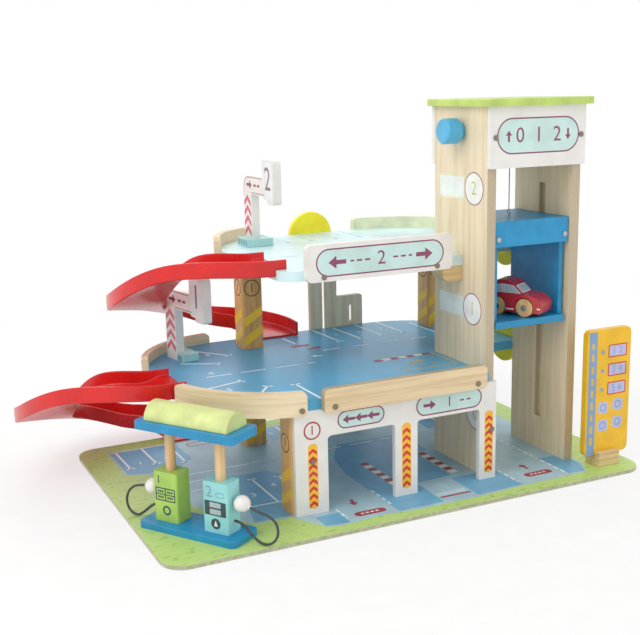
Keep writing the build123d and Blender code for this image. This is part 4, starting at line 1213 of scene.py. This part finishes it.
def paint_deck_2():
    """Faint bays and lane, and a ring of pink bars round a number."""
    face = top("deck_2")
    lines = Paint(face, 0.12)
    for x in (-60, -22, 16, 54, 92):
        stall(lines, (x, 206), (x, 140), 12)
    for x in (-60, -22, 16, 54):
        stall(lines, (x, -82), (x, -24), 12)
    lines.fill(*dashes(-100, 60, 100, 60, 34, 14, 2.6))
    lines.ring(*DECK_2_RING, 44, 40)
    numbered(lines, DECK_2_NUMBERS)
    lines.fill(scaled_arrow(1.3, 180, -70, 22))
    lines.done("deck_2_lines", "faint")
    red = Paint(face, 0.12)
    inner, outer = circle(*DECK_2_RING, 28, 12), circle(*DECK_2_RING, 34, 12)
    red.fill(*[bar(*a, *b, 5) for a, b in zip(inner, outer)])
    red.digits("2", *DECK_2_RING, 26)
    red.done("deck_2_red", "pink")


def hazard(paint, u0, u1, v0, v1):
    """Broad slanting stripes between two heights."""
    width = u1 - u0
    stripe, slant = width * 0.46, width * 0.62
    v = v0
    while v + stripe <= v1:
        paint.fill([(u0, v), (u1, v + slant), (u1, v + slant + stripe), (u0, v + stripe)])
        v += stripe * 2.1


def paint_post(node, text, sides):
    """Hazard stripes at the foot and a ringed number above them, on one or two sides."""
    (left, near, low), (right, far, _) = (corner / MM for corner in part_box(node))
    faces = {
        "left": (left_side(node), -(near + far) / 2),
        "front": (front(node), (left + right) / 2),
    }
    reach = (right - left) / 2 - 1.2
    for side in sides:
        face, middle = faces[side]
        name = f"{node}_{side}"
        stripes = Paint(face, 0.12)
        hazard(stripes, middle - reach, middle + reach, low + 4, low + 52)
        stripes.done(name + "_stripes", "hazard_yellow")
        ring = Paint(face, 0.16)
        ring.ring(middle, low + 86, 11.8, 10.3)
        ring.digits(text, middle, low + 86, 12)
        ring.done(name + "_ring", "post_ink")


def paint_posts():
    paint_post("post_ground_front_left", "1", ("left",))
    for node, text in (
        ("post_ground_back_left", "2"), ("post_ground_back_right", "3"),
        ("post_deck_1_back_left", "1"), ("post_deck_1_back_right", "2"),
    ):
        paint_post(node, text, ("left", "front"))


SIGN_POST, SIGN_REACH, SIGN_ARM_LOW, SIGN_ARM_TOP = 28.0, 78.0, 71.0, 97.0
SIGN_NUMBER_LEFT, SIGN_TOP, SIGN_NUMBER_LOW, SIGN_ROUND = 41.0, 121.0, 62.0, 19.0
SIGN_BASE_HEIGHT = high_side("sign_base_1", 2) - DECK_1_TOP
SIGN_EDGE = 2.6


def paint_level_sign(name, place, turn, low, text):
    """Chevrons up the post, an outline along the arm, an arrow in it and a number at its end."""
    arm = (sin(radians(turn)), -cos(radians(turn)), 0)
    face = Face(name, (*place, low), arm, UP)
    starts = [11.5 + 14.0 * k for k in range(4)]
    marks = [chevron(-SIGN_POST / 2, v, SIGN_POST - 5.0, 7.0, 9.5) for v in starts]
    printed(face, 0.14, name + "_chevrons", "pink", *marks)
    centre = (-SIGN_POST + SIGN_ROUND, SIGN_ARM_TOP - SIGN_ROUND)
    over = [(SIGN_NUMBER_LEFT - 1.5, SIGN_ARM_TOP - SIGN_EDGE)]
    over += arc(*centre, SIGN_ROUND - SIGN_EDGE, 90, 180) + [(-SIGN_POST + SIGN_EDGE, 68.0)]
    under = [(u, SIGN_ARM_LOW + SIGN_EDGE) for u in (1.0, SIGN_NUMBER_LEFT + 6.0)]
    marks = stroke(over, 0.9) + stroke(under, 0.9) + dashes(10.0, 84.0, 33.0, 84.0, 8, 4.5, 3.4)
    marks.append(scaled_arrow(1.0, 0, -6.0, 84.0))
    printed(face, 0.14, name + "_outline", "plum", *marks)
    left, right = SIGN_NUMBER_LEFT + 2, SIGN_REACH - 2
    field = rounded(left, right, SIGN_NUMBER_LOW + 6, SIGN_TOP - 2, 4.5)
    printed(face, 0.10, name + "_field", "field", field)
    number = Paint(face, 0.16)
    number.digits(text, (left + right) / 2, 94.0, 31)
    number.done(name + "_number", "sign_grey")


def paint_sign_base(name, place, turn, low, left, starts):
    """Small printed windows on the block's left side."""
    arm = Vector((sin(radians(turn)), -cos(radians(turn)), 0))
    out = Vector((-cos(radians(turn)), -sin(radians(turn)), 0))
    face = Face(name, Vector((*place, low)) + out * left, arm, UP)
    marks = [rounded(u, u + 5.0, 2.0, SIGN_BASE_HEIGHT - 2.0, 1.0) for u in starts]
    printed(face, 0.12, name + "_marks", "slate", *marks)


def paint_signs():
    first = ((-203.6, 103.0), 10.0, DECK_1_TOP)
    second = ((-75.0, 140.0), 0.0, DECK_2_TOP)
    paint_level_sign("level_sign_1", *first, "1")
    paint_level_sign("level_sign_2", *second, "2")
    paint_sign_base("sign_base_1", *first, 0.0, (2.5, 8.5))
    paint_sign_base("sign_base_2", *second, 13.0, (-20.0, -11.0, -2.0, 7.0))


PUMP_HALF_DEPTH, PUMP_FROM_MIDDLE, PUMP_FOOT = 12.5, 35.0, 13.0


def pump_face(node):
    """The pump's front, in the station's own directions from its middle."""
    return Face(node, STATION - STATION_BACK * PUMP_HALF_DEPTH, STATION_RIGHT, UP)


def paint_pump_1():
    """A grid of small dashes, a ring and a number."""
    face = pump_face("pump_1")
    u, low = -PUMP_FROM_MIDDLE, PUMP_FOOT
    green = Paint(face, 0.14)
    green.frame(u - 14, u + 14, low + 25, low + 41, 1, 1.4, 0.6)
    green.fill(rect(u - 0.7, u + 0.7, low + 26, low + 40), rect(u - 13, u + 13, low + 32.4, low + 33.6))
    for cu in (u - 6.6, u + 6.6):
        for cv in (low + 29.6, low + 36.4):
            green.fill(*dashes(cu - 4, cv, cu + 4, cv, 2.2, 0.8, 2.6))
    green.ring(u + 1, low + 14, 5.8, 3.6)
    green.digits("1", u - 9, low + 50, 10)
    green.done("pump_1_ink", "dark")


def paint_pump_2():
    """A dark panel with two screens, a round mark and a number."""
    face = pump_face("pump_2")
    u, low = PUMP_FROM_MIDDLE, PUMP_FOOT
    panel = rounded(u - 14.5, u + 14.5, low + 21, low + 38, 1)
    printed(face, 0.14, "pump_2_ink", "dark", panel, circle(u, low + 11.5, 6.3))
    screens = [rounded(u - 7.5, u + 7.5, low + v, low + v + 6, 1) for v in (30.5, 22.5)]
    printed(face, 0.20, "pump_2_screens", "glass", *screens)
    mark = [(u - 2.6, low + 8.5), (u + 2.6, low + 8.5), (u, low + 15.6)]
    printed(face, 0.20, "pump_2_mark", "white_ink", mark)
    digit = Paint(face, 0.14)
    digit.digits("2", u - 8, low + 48, 13)
    digit.frame(u + 1, u + 13, low + 43, low + 49, 2.9, 1, 1.9)
    digit.done("pump_2_number", "slate")


def paint_price_sign():
    """A striped edge, three framed cards with plain figures, and four ringed ones."""
    face = front("price_board")
    printed(face, 0.10, "price_stripe", "slate", rect(254.5, 267.5, 19.5, 184.5))
    steps = dashes(261, 34, 261, 170, 10, 6, 4.0)
    printed(face, 0.16, "price_stripe_marks", "amber", *steps)
    frames = Paint(face, 0.20)
    cards = Paint(face, 0.14)
    figures = Paint(face, 0.20)
    for v, text in ((157, "1 2"), (132, "3 4"), (107, "5 6")):
        cards.fill(rounded(286, 316, v - 8.5, v + 8.5, 1.5))
        frames.frame(286, 316, v - 8.5, v + 8.5, 1.5, 1.5, 0.9)
        figures.digits(text, 301, v, 9.5)
        figures.fill(circle(277, v, 2.6))
    for u, v in ((280, 82), (304, 84), (280, 58), (304, 60)):
        cards.fill(rounded(u - 8.5, u + 8.5, v - 8, v + 8, 5))
        figures.ring(u, v, 5.2, 3.6)
    cards.done("price_cards", "lavender")
    frames.done("price_frames", "chevron_red")
    figures.done("price_figures", "slate")


# The car: its middle on the cab's floor, its turn, and half of its cabin's and its whole width.
# Outlines on it run ahead from its middle and up from the floor.
CAR_CENTRE = Vector((191.9, -105.0, 204.6))
CAR_TURN = radians(-60.0)
CAR_AHEAD = Vector((cos(CAR_TURN), sin(CAR_TURN), 0))
CAR_LEFT = Vector((-sin(CAR_TURN), cos(CAR_TURN), 0))
CAR_CABIN, CAR_SIDE = 15.0, 18.0
CAR_WINDOWS = (
    ((-9.5, 30.0), (12.0, 30.0), (3.0, 38.6), (-9.5, 40.0)),
    ((-12.5, 30.0), (-12.5, 40.2), (-21.0, 38.4), (-29.0, 30.0)),
)
CAR_RIM_SHARE = 1.13
CAR_SCREEN_FOOT = CAR_AHEAD * 17.0 + UP * 28.5
CAR_SCREEN_RISE = Vector((-13.0, 12.5)).normalized()


def paint_car():
    """Windows with white rims, trim on the flanks and the windscreen."""
    for name, side in (("left", 1), ("right", -1)):
        cabin = Face("car_body", CAR_CENTRE + CAR_LEFT * (side * CAR_CABIN), CAR_AHEAD * -side, UP)
        rims = Paint(cabin, 0.10)
        panes = Paint(cabin, 0.22)
        for window in CAR_WINDOWS:
            outline = [Vector((-side * a, b)) for a, b in window]
            middle = sum(outline, Vector((0, 0))) / len(outline)
            rims.fill([middle + (p - middle) * CAR_RIM_SHARE for p in outline])
            panes.fill(outline)
        rims.done(f"car_rims_{name}", "kerb_white")
        panes.done(f"car_windows_{name}", "glass")
        flank = Face("car_body", CAR_CENTRE + CAR_LEFT * (side * CAR_SIDE), CAR_AHEAD * -side, UP)
        sill = bar(6.0 * side, 9.2, -5.0 * side, 9.2, 1.6)
        lamp = bar(-37.0 * side, 12.0, -41.0 * side, 12.0, 1.8)
        printed(flank, 0.12, f"car_trim_{name}", "kerb_white", sill, lamp)
    along = CAR_AHEAD * CAR_SCREEN_RISE.x + UP * CAR_SCREEN_RISE.y
    screen = Face("car_body", CAR_CENTRE + CAR_SCREEN_FOOT, CAR_LEFT, along)
    rim = rounded(-12.8, 12.8, 2.4, 15.6, 2.4)
    pane = rounded(-11.8, 11.8, 3.4, 14.6, 1.8)
    printed(screen, 0.10, "car_screen_rim", "kerb_white", rim)
    printed(screen, 0.20, "car_screen", "glass", pane)


paint_facade()
paint_boards()
paint_tower()
paint_ground()
paint_deck_1()
paint_deck_2()
paint_posts()
paint_signs()
paint_pump_1()
paint_pump_2()
paint_price_sign()
paint_car()
